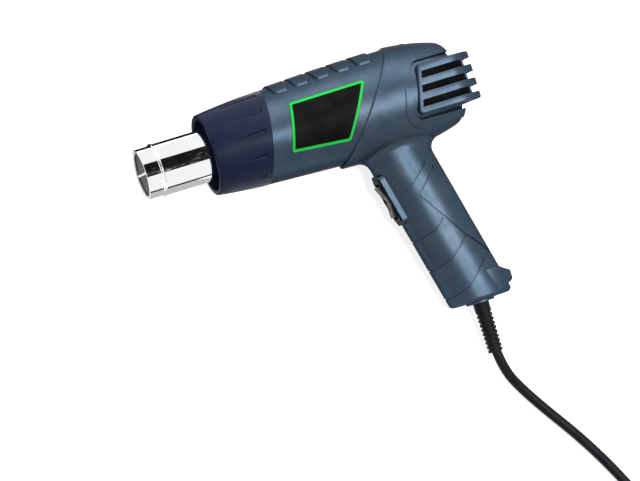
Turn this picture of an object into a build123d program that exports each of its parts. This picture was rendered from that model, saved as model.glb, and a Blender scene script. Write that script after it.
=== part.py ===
"""Pistol-grip heat gun with its blower, heater, switch and cord, lying on its right side.

The gun is modelled in its own frame: X runs back from the middle of the muzzle, Y runs up from
the grip and Z runs to the gun's left. At the end every piece of the gun is turned about X by
lie_angle, so that the body and the end of the grip both touch the floor, with +Z up. The cord,
its coil, the tie and the plug lie on the floor, and are modelled where they lie. All sizes are mm.
"""
import os
from math import asin, atan2, cos, degrees, hypot, pi, radians, sin, sqrt, tan

from build123d import *

os.makedirs("parts", exist_ok=True)

# Clearances
slip = 0.1            # between pieces that are pushed together
running = 0.03        # radial, between the shaft and its bearings
air_gap = 0.5         # between moving pieces and what they pass
parallel = 0.99       # least size of a direction's part along an axis it counts as parallel to

# Outlet tube
mouth_diameter = 35.0
mouth_length = 10.0
tube_diameter = 36.0
tube_wall = 0.8
tube_end_x = 112.0
bead_width = 2.2
bead_height = 0.7
flange_diameter = 50.0
flange_thickness = 1.6
flange_x = 98.2

# Mesh in the mouth
mesh_depth = 1.6
mesh_pitch = 2.6
mesh_hole = 1.9
mesh_thickness = 0.6
mesh_rim = 1.4
grille_bar_width = 1.6
grille_bar_thickness = 1.0

# Collar
collar_front_x = 46.5
collar_front_diameter = 56.0
collar_rear_diameter = 63.8
collar_bulge = 0.6
collar_recess_diameter = 50.0
collar_recess_depth = 13.5
collar_web = 2.5
collar_wall = 2.9
collar_inner_diameter = 54.0
collar_shoulder = 1.0
collar_web_bore = 36.8
collar_vent_count = 12
collar_vent_diameter = 3.6
collar_vent_ring = 43.4
collar_rim = 4.0
lip_round = 1.2
flute_count = 12
flute_start_x = 61.0
flute_start_radius = 0.4
flute_end_radius = 3.4
flute_depth = 1.4
flute_first_angle = 25.0
seam_top_x = 93.4
seam_bottom_x = 81.7

# Housing: (x, half height, half width) of oval sections of the barrel and of the rear
barrel_sections = [(68.0, 30.6, 30.6), (95.0, 31.8, 31.6), (140.0, 33.7, 32.2), (200.0, 34.6, 32.6)]
rear_sections = [(110.0, 35.4, 33.4), (185.0, 35.8, 33.4), (208.0, 32.8, 31.4), (228.0, 27.0, 26.4)]
housing_wall = 2.5
rear_rounding = 11.0
step_top = (183.0, 32.0)
step_bottom = (134.0, -35.0)
step_round = 1.1
throat_radius = 8.0
spigot_length = 9.0
spigot_wall = 2.0

# Grip
grip_rake = 0.235           # forward lean, as a slope
grip_depth = 45.5
grip_width = 36.0
grip_end_y = -149.0
grip_axis_x = 181.7         # middle of the grip at grip_axis_y
grip_axis_y = -65.7
grip_sections_y = [-12.0, -50.0, -85.0, grip_end_y]
grip_end_round = 3.0
heel_top = (216.0, -130.2)
heel_shoulder = (220.5, -133.0)
heel_nose_top = (226.6, -135.6)
heel_nose_bottom = (225.2, -141.4)
heel_bottom = (208.0, -147.8)
heel_root_x = 204.0
heel_half_width = 16.6
nose_round = 2.6
gland_boss_diameter = 20.0
gland_boss_height = 1.6

# Grip pads along the top of the barrel
pad_count = 5
pad_pitch = 15.3
pad_length = 11.6
pad_half_width = 19.5
pad_first_x = 105.3
pad_height = 1.3
pad_round = 3.0

# Panel lines of the grip, as polylines in the side view, and their section
groove_width = 1.1
groove_depth = 0.9
panel_lines = [
    [(187.0, -47.8), (171.5, -61.4)],
    [(193.0, -51.4), (176.6, -67.0), (176.6, -69.4), (198.5, -101.5), (214.0, -118.0)],
    [(187.3, -87.6), (179.5, -94.1), (160.0, -99.6)],
    [(199.3, -103.7), (184.3, -116.3), (164.0, -122.4)],
    [(207.5, -122.1), (189.8, -138.3), (170.0, -143.6)],
]

# Badge on each side: corners in the side view
badge_corners = [(105.7, 16.7), (160.3, 17.3), (139.3, -19.5), (97.9, -15.9)]
badge_round = 1.5
badge_pocket = 0.5
badge_proud = 0.4

# Air-intake cover at the rear
cover_middle_y = -0.3
cover_height = 33.5
cover_front_top_x = 197.2
cover_front_bottom_x = 188.8
cover_rear_x = 239.5
cover_half_width = 32.4
cover_corner = 20.0
cover_wall = 2.4
cover_edge_round = 1.6
slot_pitch = 9.5
slot_height = 4.6
slot_setback = 3.2
slot_count = 3
channel_width = 3.6
channel_depth = 1.6
border_width = 5.4
border_height = 0.8
border_top_y = 3.0
mullion_width = 2.4
mullion_spacing = 8.0

# Screws that hold the shells together: places in the side view
screw_places = [(120.0, 24.5), (118.0, -24.0), (151.0, 27.0), (149.0, -28.5), (196.5, 26.8),
                (186.0, -97.0), (185.2, -138.6)]
boss_diameter = 9.2
screw_diameter = 3.0
screw_head_diameter = 6.0
screw_head_height = 2.4
screw_seat_depth = 9.0
screw_reach = 8.0

# Motor, its mount and the fan
motor_diameter = 36.0
motor_front_x = 150.0
motor_rear_x = 192.0
can_wall = 1.2
cap_thickness = 4.0
magnet_thickness = 4.2
magnet_gap = 12.0
magnet_front_x = 158.0
magnet_rear_x = 185.0
shaft_diameter = 3.2
shaft_front_x = 145.4
bearing_diameter = 9.0
bearing_length = 5.0
bearing_seat_wall = 2.0
armature_front_x = 162.0
armature_rear_x = 182.0
armature_slots = 5
armature_slot_ring = 8.0
armature_slot_diameter = 5.0
armature_slot_mouth = 1.6
winding_overhang = 3.0
commutator_diameter = 9.0
commutator_front_x = 154.5
commutator_length = 3.5
mount_front_x = 170.0
mount_rear_x = 186.0
mount_diameter = 59.0
mount_wall = 1.6
vane_count = 7
vane_thickness = 1.5
seat_lip = 1.9
seat_bore = 56.4
seat_reach = 33.0
fan_front_x = 205.0
fan_rear_x = 217.0
fan_diameter = 48.0
fan_disc = 1.6
fan_hub_diameter = 13.0
blade_count = 9
blade_thickness = 1.3
blade_root_radius = 5.5
blade_curve_radius = 22.0
blade_sweep = 50.0

# Heater
sleeve_wall = 0.6
sleeve_front_x = 14.0
sleeve_rear_x = 104.0
board_half_width = 11.2
board_thickness = 0.8
board_front_x = 20.0
board_rear_x = 107.6
disc_front_x = 104.2
disc_thickness = 3.0
disc_vent_ring = 10.0
disc_vent_diameter = 5.0
tongue_half_width = 6.0
element_wire = 1.8
element_radius = 12.3
element_turns = 12
element_front_x = 24.0
element_pitch = 6.2
terminal_spacing = 6.5
terminal_y = -13.0
terminal_width = 4.8
terminal_thickness = 0.8
terminal_rear_x = 117.0
cutout_length = 8.0
cutout_height = 5.0
cutout_width = 6.0
cutout_y = 12.5

# Circuit board of the motor and the suppressor
rectifier_gap = 2.5
rectifier_thickness = 1.6
rectifier_diameter = 30.0
post_diameter = 2.0
post_spacing = 22.0
diode_diameter = 3.0
diode_length = 6.0
diode_spacing = 9.0
capacitor_round = 1.5
capacitor_length = 14.0
capacitor_height = 12.0
capacitor_width = 9.0
capacitor_middle = (189.5, -113.0)
capacitor_rib = 1.6

# Switch, centred on the front of the grip
switch_middle_y = -65.4
switch_inset = 1.2          # how far the middle of its face lies behind the front of the grip
switch_pad_length = 38.0
switch_pad_width = 19.0
switch_pad_height = 1.6
switch_pad_round = 4.0
bezel_length = 31.5
bezel_width = 15.0
bezel_thickness = 2.2
bezel_recess = 1.2
bezel_round = 1.5
bezel_edge_round = 0.5
switch_body_depth = 16.0
switch_body_wall = 0.75
switch_well_depth = 11.5
rocker_radius = 13.0         # its ends are round about the pivot
rocker_width = 10.6
rocker_side_gap = 0.25
rocker_pivot_depth = 1.7
rocker_end_reach = 11.5
rocker_angle = 12.0
rocker_skirt = 3.0
rocker_keel_width = 6.0
rocker_keel_depth = 8.0
rocker_pin_diameter = 3.0
rocker_pin_length = 12.4
tab_spacing = 8.0
tab_width = 4.8
tab_thickness = 0.8
tab_length = 6.0

# Cord, strain relief and clamp
cord_diameter = 7.0
cord_inner_y = -125.0
cord_free_y = -175.0
cord_bend_y = -195.5
cord_route = [(213.0, -217.5), (247.5, -270.0), (273.1, -327.6)]
relief_x = 200.0
relief_diameter = 11.2
relief_tip_y = -185.7
relief_tip_diameter = 10.4
relief_rib_count = 9
relief_rib_pitch = 3.1
relief_rib_width = 1.8
relief_rib_depth = 0.8
relief_flange_diameter = 16.0
relief_flange = 2.0
gland_plate = 2.0
gland_plate_width = 28.0
clamp_y = -133.0
clamp_length = 21.0
clamp_width = 7.0
clamp_thickness = 2.6
clamp_round = 1.4
clamp_gap = 0.5
clamp_screw_spacing = 14.8
clamp_screw_diameter = 2.0
clamp_screw_head = 4.2
clamp_screw_head_height = 1.5
clamp_boss_diameter = 5.0
clamp_screw_reach = 7.0
lead_diameter = 2.2
lead_gap = 0.8               # bare core between a lead's sleeve and what it joins
arc_share = 0.45             # of the shorter run at a corner, taken by the bend

# Coil of the stored cord, its tie and the plug
coil_mean_diameter = 83.0
gap_skip = 4                 # diameters along a wound tube that count as the same place
coil_turns = 6
coil_pitch = 7.8
tie_thickness = 1.0
tie_width = 9.0
tie_gap = 0.9
tie_round = 2.5
plug_length = 34.0
plug_width = 22.0
plug_round = 4.0
plug_neck_length = 32.0
plug_neck_diameter = 11.0
plug_neck_tip_diameter = 7.7
prong_length = 17.0
prong_width = 6.35
prong_thickness = 1.5
prong_spacing = 12.7
prong_hole = 3.0
prong_hole_from_tip = 4.5

# Sizes that follow
tube_radius = tube_diameter / 2
tube_bore = tube_radius - tube_wall
mouth_bore = mouth_diameter / 2 - tube_wall
collar_recess_x = collar_front_x + collar_recess_depth
motor_radius = motor_diameter / 2
cover_top_y = cover_middle_y + cover_height / 2
cover_bottom_y = cover_middle_y - cover_height / 2
cord_radius = cord_diameter / 2
switch_well_length = 2 * (rocker_radius + air_gap)
switch_well_width = rocker_width + 2 * rocker_side_gap
switch_body_length = switch_well_length + 2 * switch_body_wall
switch_body_width = switch_well_width + 2 * switch_body_wall
rest_half_width = rear_sections[1][2] + border_height
grip_end_half_width = grip_width / 2

# The gun tips about X until the edge of the grip's end is level with the side of its body
grip_reach = hypot(-grip_end_y - grip_end_round, grip_end_half_width)
lie_angle = asin(rest_half_width / grip_reach) - atan2(grip_end_half_width, -grip_end_y - grip_end_round)
floor_z = -rest_half_width


def lie(x, y, z):
    """Where a point of the gun lies once the gun is on its side."""
    return Vector(x, y * cos(lie_angle) - z * sin(lie_angle), y * sin(lie_angle) + z * cos(lie_angle))


def grip_middle_x(y):
    """Middle of the grip, front to back, at a height."""
    return grip_axis_x + grip_rake * (grip_axis_y - y)


def side_cut(top, bottom):
    """Plane square to the middle plane through two points of the side view, facing the rear."""
    rise = Vector(top[0] - bottom[0], top[1] - bottom[1], 0)
    return Plane(origin=(bottom[0], bottom[1], 0), x_dir=(0, 0, 1), z_dir=rise.cross(Vector(0, 0, 1)))


def round_bar(front_x, rear_x, radius, bore=0.0):
    """A round bar or tube on the barrel's axis."""
    with BuildPart() as bar:
        with BuildSketch(Plane.YZ.offset(front_x)):
            Circle(radius)
            if bore:
                Circle(bore, mode=Mode.SUBTRACT)
        extrude(amount=rear_x - front_x)
    return bar.part


def oval_loft(sections, inset, rear_round=0.0):
    """The smooth form through oval sections, drawn in by inset all round."""
    with BuildPart() as form:
        for x, half_height, half_width in sections:
            with BuildSketch(Plane.YZ.offset(x)):
                Ellipse(half_height - inset, half_width - inset)
        loft()
        if rear_round:
            fillet(form.faces().sort_by(Axis.X)[-1].edges(), rear_round)
    return form.part


def rear_form(inset):
    """Rear of the housing, drawn in by inset all round."""
    x, half_height, half_width = rear_sections[-1]
    sections = rear_sections[:-1] + [(x - inset, half_height, half_width)]
    return oval_loft(sections, inset, rear_rounding - inset)


def grip_form(inset):
    """The grip, drawn in by inset all round."""
    with BuildPart() as form:
        for y in grip_sections_y[:-1] + [grip_end_y + inset]:
            with BuildSketch(Plane((grip_middle_x(y), y, 0), x_dir=(1, 0, 0), z_dir=(0, -1, 0))):
                Ellipse(grip_depth / 2 - inset, grip_width / 2 - inset)
        loft()
        fillet(form.faces().sort_by(Axis.Y)[0].edges(), grip_end_round - inset / 2)
    return form.part


def cover_outline(grow):
    """Outline of the intake cover in the side view, grown all round, open to the rear."""
    front = Vector(cover_front_top_x - cover_front_bottom_x, cover_height, 0).normalized()
    slant = front.X / front.Y
    top_y = cover_top_y + grow
    bottom_y = cover_bottom_y - grow
    edge = grow / front.Y
    top_x = cover_front_top_x + slant * grow - edge
    bottom_x = cover_front_bottom_x - slant * grow - edge
    far_x = cover_rear_x + grow
    return [(top_x, top_y), (bottom_x, bottom_y), (far_x, bottom_y), (far_x, top_y)]


def cover_prism(grow, half_width, front_round):
    """The intake cover's outline in the side view, carried across the gun."""
    with BuildPart() as prism:
        with BuildSketch(Plane.XY):
            with BuildLine():
                Polyline(*cover_outline(grow), close=True)
            make_face()
            fillet(vertices().sort_by(Axis.X)[:2], front_round)
        extrude(amount=half_width, both=True)
    return prism.part


def border_form(grow, inset):
    """Between the rear form drawn in by inset and the cover's outline grown by grow."""
    prism = cover_prism(grow, cover_half_width + grow, channel_width + grow)
    with BuildPart() as form:
        add(prism)
        if inset < 0:
            add(rear_form(inset), mode=Mode.INTERSECT)
            with BuildSketch(Plane.XZ.offset(-border_top_y)):
                Rectangle(2 * cover_rear_x, 2 * cover_rear_x)
            extrude(amount=-cover_height, mode=Mode.SUBTRACT)
        else:
            add(rear_form(inset), mode=Mode.SUBTRACT)
    return form.part


grip_slope = Vector(grip_rake, -1, 0).normalized()
switch_origin_x = grip_middle_x(switch_middle_y) - grip_depth / 2 + switch_inset
switch_plane = Plane(origin=(switch_origin_x, switch_middle_y, 0), x_dir=grip_slope,
                     z_dir=grip_slope.cross(Vector(0, 0, 1)))
rocker_plane = Plane(origin=switch_plane.from_local_coords((0, 0, -rocker_pivot_depth)),
                     x_dir=switch_plane.x_dir, z_dir=(0, 0, -1))
seam_plane = side_cut((seam_top_x, collar_rear_diameter / 2), (seam_bottom_x, -collar_rear_diameter / 2))
step_plane = side_cut(step_top, step_bottom)
inner_step_plane = step_plane.offset(housing_wall)

# ---------------------------------------------------------------- Housing, outside and inside
barrel_outside = split(oval_loft(barrel_sections, 0), bisect_by=seam_plane, keep=Keep.TOP)
barrel_inside = split(oval_loft(barrel_sections, housing_wall), bisect_by=seam_plane, keep=Keep.TOP)
rear_inside = split(rear_form(housing_wall), bisect_by=inner_step_plane, keep=Keep.TOP)
grip_outside = grip_form(0)
grip_inside = grip_form(housing_wall)

with BuildPart() as rear_outside:
    add(rear_form(0))
    split(bisect_by=step_plane, keep=Keep.TOP)
    fillet(rear_outside.faces().filter_by(GeomType.PLANE).sort_by(Axis.X)[0].edges(), step_round)

with BuildPart() as inside:
    add(barrel_inside)
    add(rear_inside)
    add(grip_inside)

with BuildPart() as heel:
    with BuildSketch(Plane.XY):
        with BuildLine():
            Polyline((heel_root_x, heel_top[1]), heel_top, heel_shoulder, heel_nose_top,
                     heel_nose_bottom, heel_bottom, (heel_root_x, heel_bottom[1]), close=True)
        make_face()
        fillet([v for v in vertices() if v.X > heel_shoulder[0]], nose_round)
    extrude(amount=grip_width, both=True)
    with BuildSketch(Plane((heel_root_x, heel_top[1], 0), x_dir=(1, 0, 0), z_dir=(0, -1, 0))):
        Ellipse(heel_nose_top[0] - heel_root_x, heel_half_width)
    extrude(amount=heel_top[1] - grip_end_y, mode=Mode.INTERSECT)

with BuildPart() as switch_pad:
    with BuildSketch(switch_plane.offset(switch_pad_height)):
        RectangleRounded(switch_pad_length, switch_pad_width, switch_pad_round)
    extrude(amount=-grip_depth / 2)

with BuildPart() as gland_boss:
    with BuildSketch(Plane((relief_x, grip_end_y + housing_wall, 0), x_dir=(1, 0, 0), z_dir=(0, -1, 0))):
        Circle(gland_boss_diameter / 2)
    extrude(amount=housing_wall + gland_boss_height)

cover_border = border_form(channel_width + border_width, -border_height)
channel = border_form(channel_width, channel_depth)
cover_opening = cover_prism(0, 2 * rest_half_width, channel_width)

with BuildPart() as outside:
    add(rear_outside.part)
    add(grip_outside)
    fillet(outside.edges(Select.NEW), throat_radius)
    add(heel.part)
    add(switch_pad.part)
    add(gland_boss.part)
    add(cover_border)
    add(barrel_outside)
    add(channel, mode=Mode.SUBTRACT)
    add(cover_opening, mode=Mode.SUBTRACT)

# Pads raised along the top of the barrel
pad_last_x = pad_first_x + (pad_count - 1) * pad_pitch
with BuildPart() as grip_pads:
    with BuildSketch(Plane.XZ):
        with Locations(((pad_first_x + pad_last_x) / 2, 0)):
            with GridLocations(pad_pitch, 1, pad_count, 1):
                RectangleRounded(pad_length, 2 * pad_half_width, pad_round)
    extrude(amount=-tube_diameter - pad_height)
    add(oval_loft(barrel_sections, -pad_height), mode=Mode.INTERSECT)
    split(bisect_by=step_plane, keep=Keep.BOTTOM)

# Panel lines: narrow bands through the side view that reach groove_depth into the grip
with BuildPart() as panel_grooves:
    for line in panel_lines:
        with BuildSketch(Plane.XY):
            with BuildLine():
                Polyline(*line)
            trace(line_width=groove_width)
        extrude(amount=grip_width, both=True)
    add(grip_form(groove_depth), mode=Mode.SUBTRACT)

# Badge: a plate sunk into a pocket that follows the barrel's side
with BuildPart() as badge_prism:
    with BuildSketch(Plane.XY):
        with BuildLine():
            Polyline(*badge_corners, close=True)
        make_face()
        fillet(vertices(), badge_round)
    extrude(amount=rest_half_width + badge_proud, both=True)

with BuildPart() as badge_pockets:
    add(badge_prism.part)
    add(oval_loft(barrel_sections, badge_pocket), mode=Mode.SUBTRACT)

with BuildPart() as badges:
    add(badge_prism.part)
    add(oval_loft(barrel_sections, -badge_proud), mode=Mode.INTERSECT)
    add(oval_loft(barrel_sections, badge_pocket - slip / 2), mode=Mode.SUBTRACT)

badge_left = split(badges.part, bisect_by=Plane.XY, keep=Keep.TOP)
badge_right = split(badges.part, bisect_by=Plane.XY, keep=Keep.BOTTOM)

# ---------------------------------------------------------------- Ribs, seats and bosses inside
flange_seat_front = flange_x - slip / 2 - seat_lip
flange_seat_rear = flange_x + flange_thickness + slip / 2 + seat_lip
mount_seat_front = mount_front_x - slip / 2 - seat_lip
mount_seat_rear = mount_rear_x + slip / 2 + seat_lip
gland_flange_y = grip_end_y + housing_wall + slip / 2
gland_plate_y = gland_flange_y + relief_flange + slip / 2
clamp_saddle_depth = cord_radius + slip / 2

with BuildPart() as inner_ribs:
    add(round_bar(flange_seat_front, flange_seat_rear, seat_reach, tube_radius + slip))
    add(round_bar(mount_seat_front, mount_seat_rear, seat_reach, seat_bore / 2))
    with BuildSketch(Plane((relief_x, gland_plate_y, 0), x_dir=(1, 0, 0), z_dir=(0, 1, 0))):
        Rectangle(gland_plate_width, grip_width)
        Circle(relief_diameter / 2 + slip, mode=Mode.SUBTRACT)
    extrude(amount=gland_plate)
    with BuildSketch(Plane.XY):
        with Locations(*screw_places):
            Circle(boss_diameter / 2)
    extrude(amount=rest_half_width, both=True)
    add(round_bar(flange_x - slip / 2, flange_x + flange_thickness + slip / 2, flange_diameter / 2 + slip),
        mode=Mode.SUBTRACT)
    add(round_bar(mount_front_x - slip / 2, mount_rear_x + slip / 2, mount_diameter / 2 + slip),
        mode=Mode.SUBTRACT)

with BuildPart() as hollow:
    add(inside.part)
    add(inner_ribs.part, mode=Mode.SUBTRACT)

# What the right shell alone carries: the cord's saddle, the clamp's bosses and the capacitor's ribs
with BuildPart() as right_supports:
    with BuildSketch(Plane.XY.offset(-clamp_saddle_depth)):
        with Locations((relief_x, clamp_y)):
            Rectangle(clamp_length, clamp_width)
        with Locations(capacitor_middle):
            with GridLocations(1, capacitor_height - 2 * capacitor_rib, 1, 2):
                Rectangle(capacitor_length, capacitor_rib)
    extrude(amount=-grip_width)
    with BuildSketch(Plane.XY.offset(clamp_saddle_depth - clamp_gap)):
        with Locations((relief_x, clamp_y)):
            with GridLocations(clamp_screw_spacing, 1, 2, 1):
                Circle(clamp_boss_diameter / 2)
    extrude(amount=-grip_width)
    add(inside.part, mode=Mode.INTERSECT)

# Spigot that carries the collar
spigot_radius = collar_rear_diameter / 2 - collar_wall - slip
with BuildPart() as spigot:
    add(round_bar(seam_bottom_x - spigot_length, seam_top_x + housing_wall, spigot_radius,
                  spigot_radius - spigot_wall))
    split(bisect_by=seam_plane.offset(housing_wall), keep=Keep.BOTTOM)

# Openings shared by both shells
with BuildPart() as switch_opening:
    with BuildSketch(switch_plane.offset(switch_pad_height)):
        RectangleRounded(bezel_length + 2 * slip, bezel_width + 2 * slip, bezel_round)
    extrude(amount=-bezel_recess)
    with BuildSketch(switch_plane.offset(switch_pad_height)):
        Rectangle(switch_body_length + 2 * slip, switch_body_width + 2 * slip)
    extrude(amount=-grip_depth / 2)

relief_opening_plane = Plane((relief_x, gland_flange_y, 0), x_dir=(1, 0, 0), z_dir=(0, -1, 0))
with BuildPart() as relief_opening:
    with BuildSketch(relief_opening_plane):
        Circle(relief_diameter / 2 + slip)
    extrude(amount=housing_wall + gland_boss_height + slip)

with BuildPart() as solid_housing:
    add(outside.part)
    add(grip_pads.part)
    add(panel_grooves.part, mode=Mode.SUBTRACT)
    add(badge_pockets.part, mode=Mode.SUBTRACT)


def shell_half(keep):
    """One half of the housing, hollowed out, with the openings that both halves share."""
    with BuildPart() as half:
        add(solid_housing.part)
        split(bisect_by=Plane.XY, keep=keep)
        add(hollow.part, mode=Mode.SUBTRACT)
        add(split(spigot.part, bisect_by=Plane.XY, keep=keep, mode=Mode.PRIVATE))
        add(switch_opening.part, mode=Mode.SUBTRACT)
        add(relief_opening.part, mode=Mode.SUBTRACT)
    return half.part


left_half = shell_half(Keep.TOP)
right_half = shell_half(Keep.BOTTOM)

with BuildPart() as left_shell:
    add(left_half)
    with BuildSketch(Plane.XY):
        with Locations(*screw_places):
            Circle(screw_diameter / 2 + slip / 2)
    extrude(amount=screw_reach + slip, mode=Mode.SUBTRACT)

with BuildPart() as right_shell:
    add(right_half)
    add(right_supports.part)
    with BuildSketch(Plane.XY):
        with Locations(*screw_places):
            Circle(screw_diameter / 2 + slip)
    extrude(amount=-screw_seat_depth, mode=Mode.SUBTRACT)
    with BuildSketch(Plane.XY.offset(-screw_seat_depth)):
        with Locations(*screw_places):
            Circle(screw_head_diameter / 2 + slip)
    extrude(amount=-rest_half_width, mode=Mode.SUBTRACT)
    with BuildSketch(Plane.XY.offset(clamp_saddle_depth)):
        with Locations((relief_x, clamp_y)):
            with GridLocations(clamp_screw_spacing, 1, 2, 1):
                Circle(clamp_screw_diameter / 2 + slip / 2)
    extrude(amount=-clamp_screw_reach - slip, mode=Mode.SUBTRACT)

with BuildPart() as housing_screws:
    with BuildSketch(Plane.XY.offset(screw_reach)):
        with Locations(*screw_places):
            Circle(screw_diameter / 2)
    extrude(amount=-screw_reach - screw_seat_depth)
    with BuildSketch(Plane.XY.offset(-screw_seat_depth)):
        with Locations(*screw_places):
            Circle(screw_head_diameter / 2)
            RegularPolygon(screw_diameter / 2, 6, mode=Mode.SUBTRACT)
    extrude(amount=-screw_head_height)

# ---------------------------------------------------------------- Collar
collar_taper = (collar_rear_diameter - collar_front_diameter) / 2 / (seam_top_x - collar_front_x)
flute_start_height = (collar_front_diameter / 2 + collar_taper * (flute_start_x - collar_front_x)
                      + collar_bulge)
flute_end_height = collar_rear_diameter / 2 + flute_end_radius - flute_depth

# One flute, as if the barrel stood on its axis
with BuildPart() as flute:
    with BuildSketch(Plane.XY.offset(flute_start_x)):
        with Locations((flute_start_height, 0)):
            Circle(flute_start_radius)
    with BuildSketch(Plane.XY.offset(seam_top_x)):
        with Locations((flute_end_height, 0)):
            Circle(flute_end_radius)
    loft()

with BuildPart(Plane.YZ) as flutes:
    with PolarLocations(0, flute_count, start_angle=flute_first_angle):
        add(flute.part)
    split(bisect_by=seam_plane.offset(-collar_rim), keep=Keep.BOTTOM)

with BuildPart() as front_collar:
    with BuildSketch(Plane.XY):
        with BuildLine():
            middle_x = (collar_front_x + seam_top_x) / 2
            middle_height = (collar_front_diameter + collar_rear_diameter) / 4 + collar_bulge
            skin = ThreePointArc((collar_front_x, collar_front_diameter / 2), (middle_x, middle_height),
                                 (seam_top_x, collar_rear_diameter / 2))
            spigot_bore = collar_rear_diameter / 2 - collar_wall
            shoulder_x = seam_bottom_x - spigot_length - collar_shoulder
            web_rear_x = collar_recess_x + collar_web
            Polyline(skin @ 1, (seam_top_x, spigot_bore), (shoulder_x, spigot_bore),
                     (shoulder_x, collar_inner_diameter / 2), (web_rear_x, collar_inner_diameter / 2),
                     (web_rear_x, collar_web_bore / 2), (collar_recess_x, collar_web_bore / 2),
                     (collar_recess_x, collar_recess_diameter / 2),
                     (collar_front_x, collar_recess_diameter / 2), skin @ 0)
        make_face()
        fillet(vertices().group_by(Axis.X)[0], lip_round)
    revolve(axis=Axis.X)
    split(bisect_by=seam_plane, keep=Keep.BOTTOM)
    with BuildSketch(Plane.YZ.offset(collar_recess_x)):
        with PolarLocations(collar_vent_ring / 2, collar_vent_count):
            Circle(collar_vent_diameter / 2)
    extrude(amount=collar_web, mode=Mode.SUBTRACT)
    add(flutes.part, mode=Mode.SUBTRACT)

# ---------------------------------------------------------------- Outlet tube and its mesh
with BuildPart() as nozzle_tube:
    with BuildSketch(Plane.XY):
        with BuildLine():
            bead_end_x = mouth_length + bead_width
            Polyline((mouth_length, mouth_diameter / 2), (0, mouth_diameter / 2), (0, mouth_bore),
                     (mouth_length, mouth_bore), (bead_end_x, tube_bore), (tube_end_x, tube_bore),
                     (tube_end_x, tube_radius), (flange_x + flange_thickness, tube_radius),
                     (flange_x + flange_thickness, flange_diameter / 2),
                     (flange_x, flange_diameter / 2), (flange_x, tube_radius), (bead_end_x, tube_radius))
            ThreePointArc((bead_end_x, tube_radius),
                          (mouth_length + bead_width / 2, tube_radius + bead_height),
                          (mouth_length, mouth_diameter / 2))
        make_face()
        fillet(vertices().group_by(Axis.X)[0], tube_wall / 3)
    revolve(axis=Axis.X)

mesh_radius = mouth_bore - slip / 2
mesh_rows = range(-int(mesh_radius / mesh_pitch), int(mesh_radius / mesh_pitch) + 1)
mesh_places = [(mesh_pitch * row, mesh_pitch * column) for row in mesh_rows for column in mesh_rows
               if mesh_pitch * hypot(row, column) < mesh_radius - mesh_rim - mesh_hole / 2]
with BuildPart() as outlet_grille:
    with BuildSketch(Plane.YZ.offset(mesh_depth)):
        Circle(mesh_radius)
        with Locations(*mesh_places):
            Rectangle(mesh_hole, mesh_hole, mode=Mode.SUBTRACT)
    extrude(amount=mesh_thickness)
    add(round_bar(mesh_depth + mesh_thickness, mesh_depth + mesh_thickness + mesh_rim, mesh_radius,
                  mesh_radius - mesh_rim))

with BuildPart() as grille_bar:
    with BuildSketch(Plane.YZ.offset(mesh_depth)):
        Rectangle(grille_bar_width, 2 * mesh_radius - 2 * slip)
    extrude(amount=-grille_bar_thickness)
    fillet(grille_bar.faces().sort_by(Axis.X)[0].edges().filter_by(Axis.Z), grille_bar_thickness / 3)

# ---------------------------------------------------------------- Heater
with BuildPart() as mica_sleeve:
    add(round_bar(sleeve_front_x, sleeve_rear_x, tube_bore - slip, tube_bore - slip - sleeve_wall))

board_middle_x = (board_front_x + disc_front_x) / 2


def mica_board(plane, slot_front_x, slot_rear_x):
    """One of the two crossed boards, with the slot that lets the other one through."""
    with BuildPart() as board:
        with BuildSketch(plane):
            with BuildLine():
                Polyline((board_front_x, board_half_width), (disc_front_x, board_half_width),
                         (disc_front_x, tongue_half_width), (board_rear_x, tongue_half_width),
                         (board_rear_x, 0), (board_front_x, 0), close=True)
            make_face()
            mirror(about=Plane.XZ)
            with Locations(((slot_front_x + slot_rear_x) / 2, 0)):
                Rectangle(slot_rear_x - slot_front_x, board_thickness + slip, mode=Mode.SUBTRACT)
        extrude(amount=board_thickness / 2, both=True)
    return board


mica_board_upright = mica_board(Plane.XY, board_front_x, board_middle_x)
mica_board_level = mica_board(Plane.XZ, board_middle_x, board_rear_x)

with BuildPart() as heater_end_disc:
    with BuildSketch(Plane.YZ.offset(disc_front_x)):
        Circle(tube_bore - slip)
        with PolarLocations(disc_vent_ring, 4, start_angle=45):
            Circle(disc_vent_diameter / 2, mode=Mode.SUBTRACT)
        Rectangle(2 * tongue_half_width + slip, board_thickness + slip, mode=Mode.SUBTRACT)
        Rectangle(board_thickness + slip, 2 * tongue_half_width + slip, mode=Mode.SUBTRACT)
        with Locations((terminal_y, 0)):
            with GridLocations(1, terminal_spacing, 1, 3):
                Rectangle(terminal_thickness + slip, terminal_width + slip, mode=Mode.SUBTRACT)
    extrude(amount=disc_thickness)

with BuildPart() as heater_terminals:
    with BuildSketch(Plane.YZ.offset(disc_front_x - terminal_thickness)):
        with Locations((terminal_y, 0)):
            with GridLocations(1, terminal_spacing, 1, 3):
                Rectangle(terminal_thickness, terminal_width)
    extrude(amount=terminal_rear_x - disc_front_x + terminal_thickness)

with BuildPart() as thermal_cutout:
    with BuildSketch(Plane.YZ.offset(disc_front_x + disc_thickness)):
        with Locations((cutout_y, 0)):
            RectangleRounded(cutout_height, cutout_width, cutout_height / 4)
    extrude(amount=cutout_length)


def least_gap(line, diameter):
    """Least gap of a wound tube to itself, on points half a diameter apart along its middle."""
    count = int(2 * line.length / diameter)
    points = [line @ (step / count) for step in range(count + 1)]
    return min((points[i] - points[j]).length for i in range(count + 1)
               for j in range(i + 3 * gap_skip, count + 1)) - diameter


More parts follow.
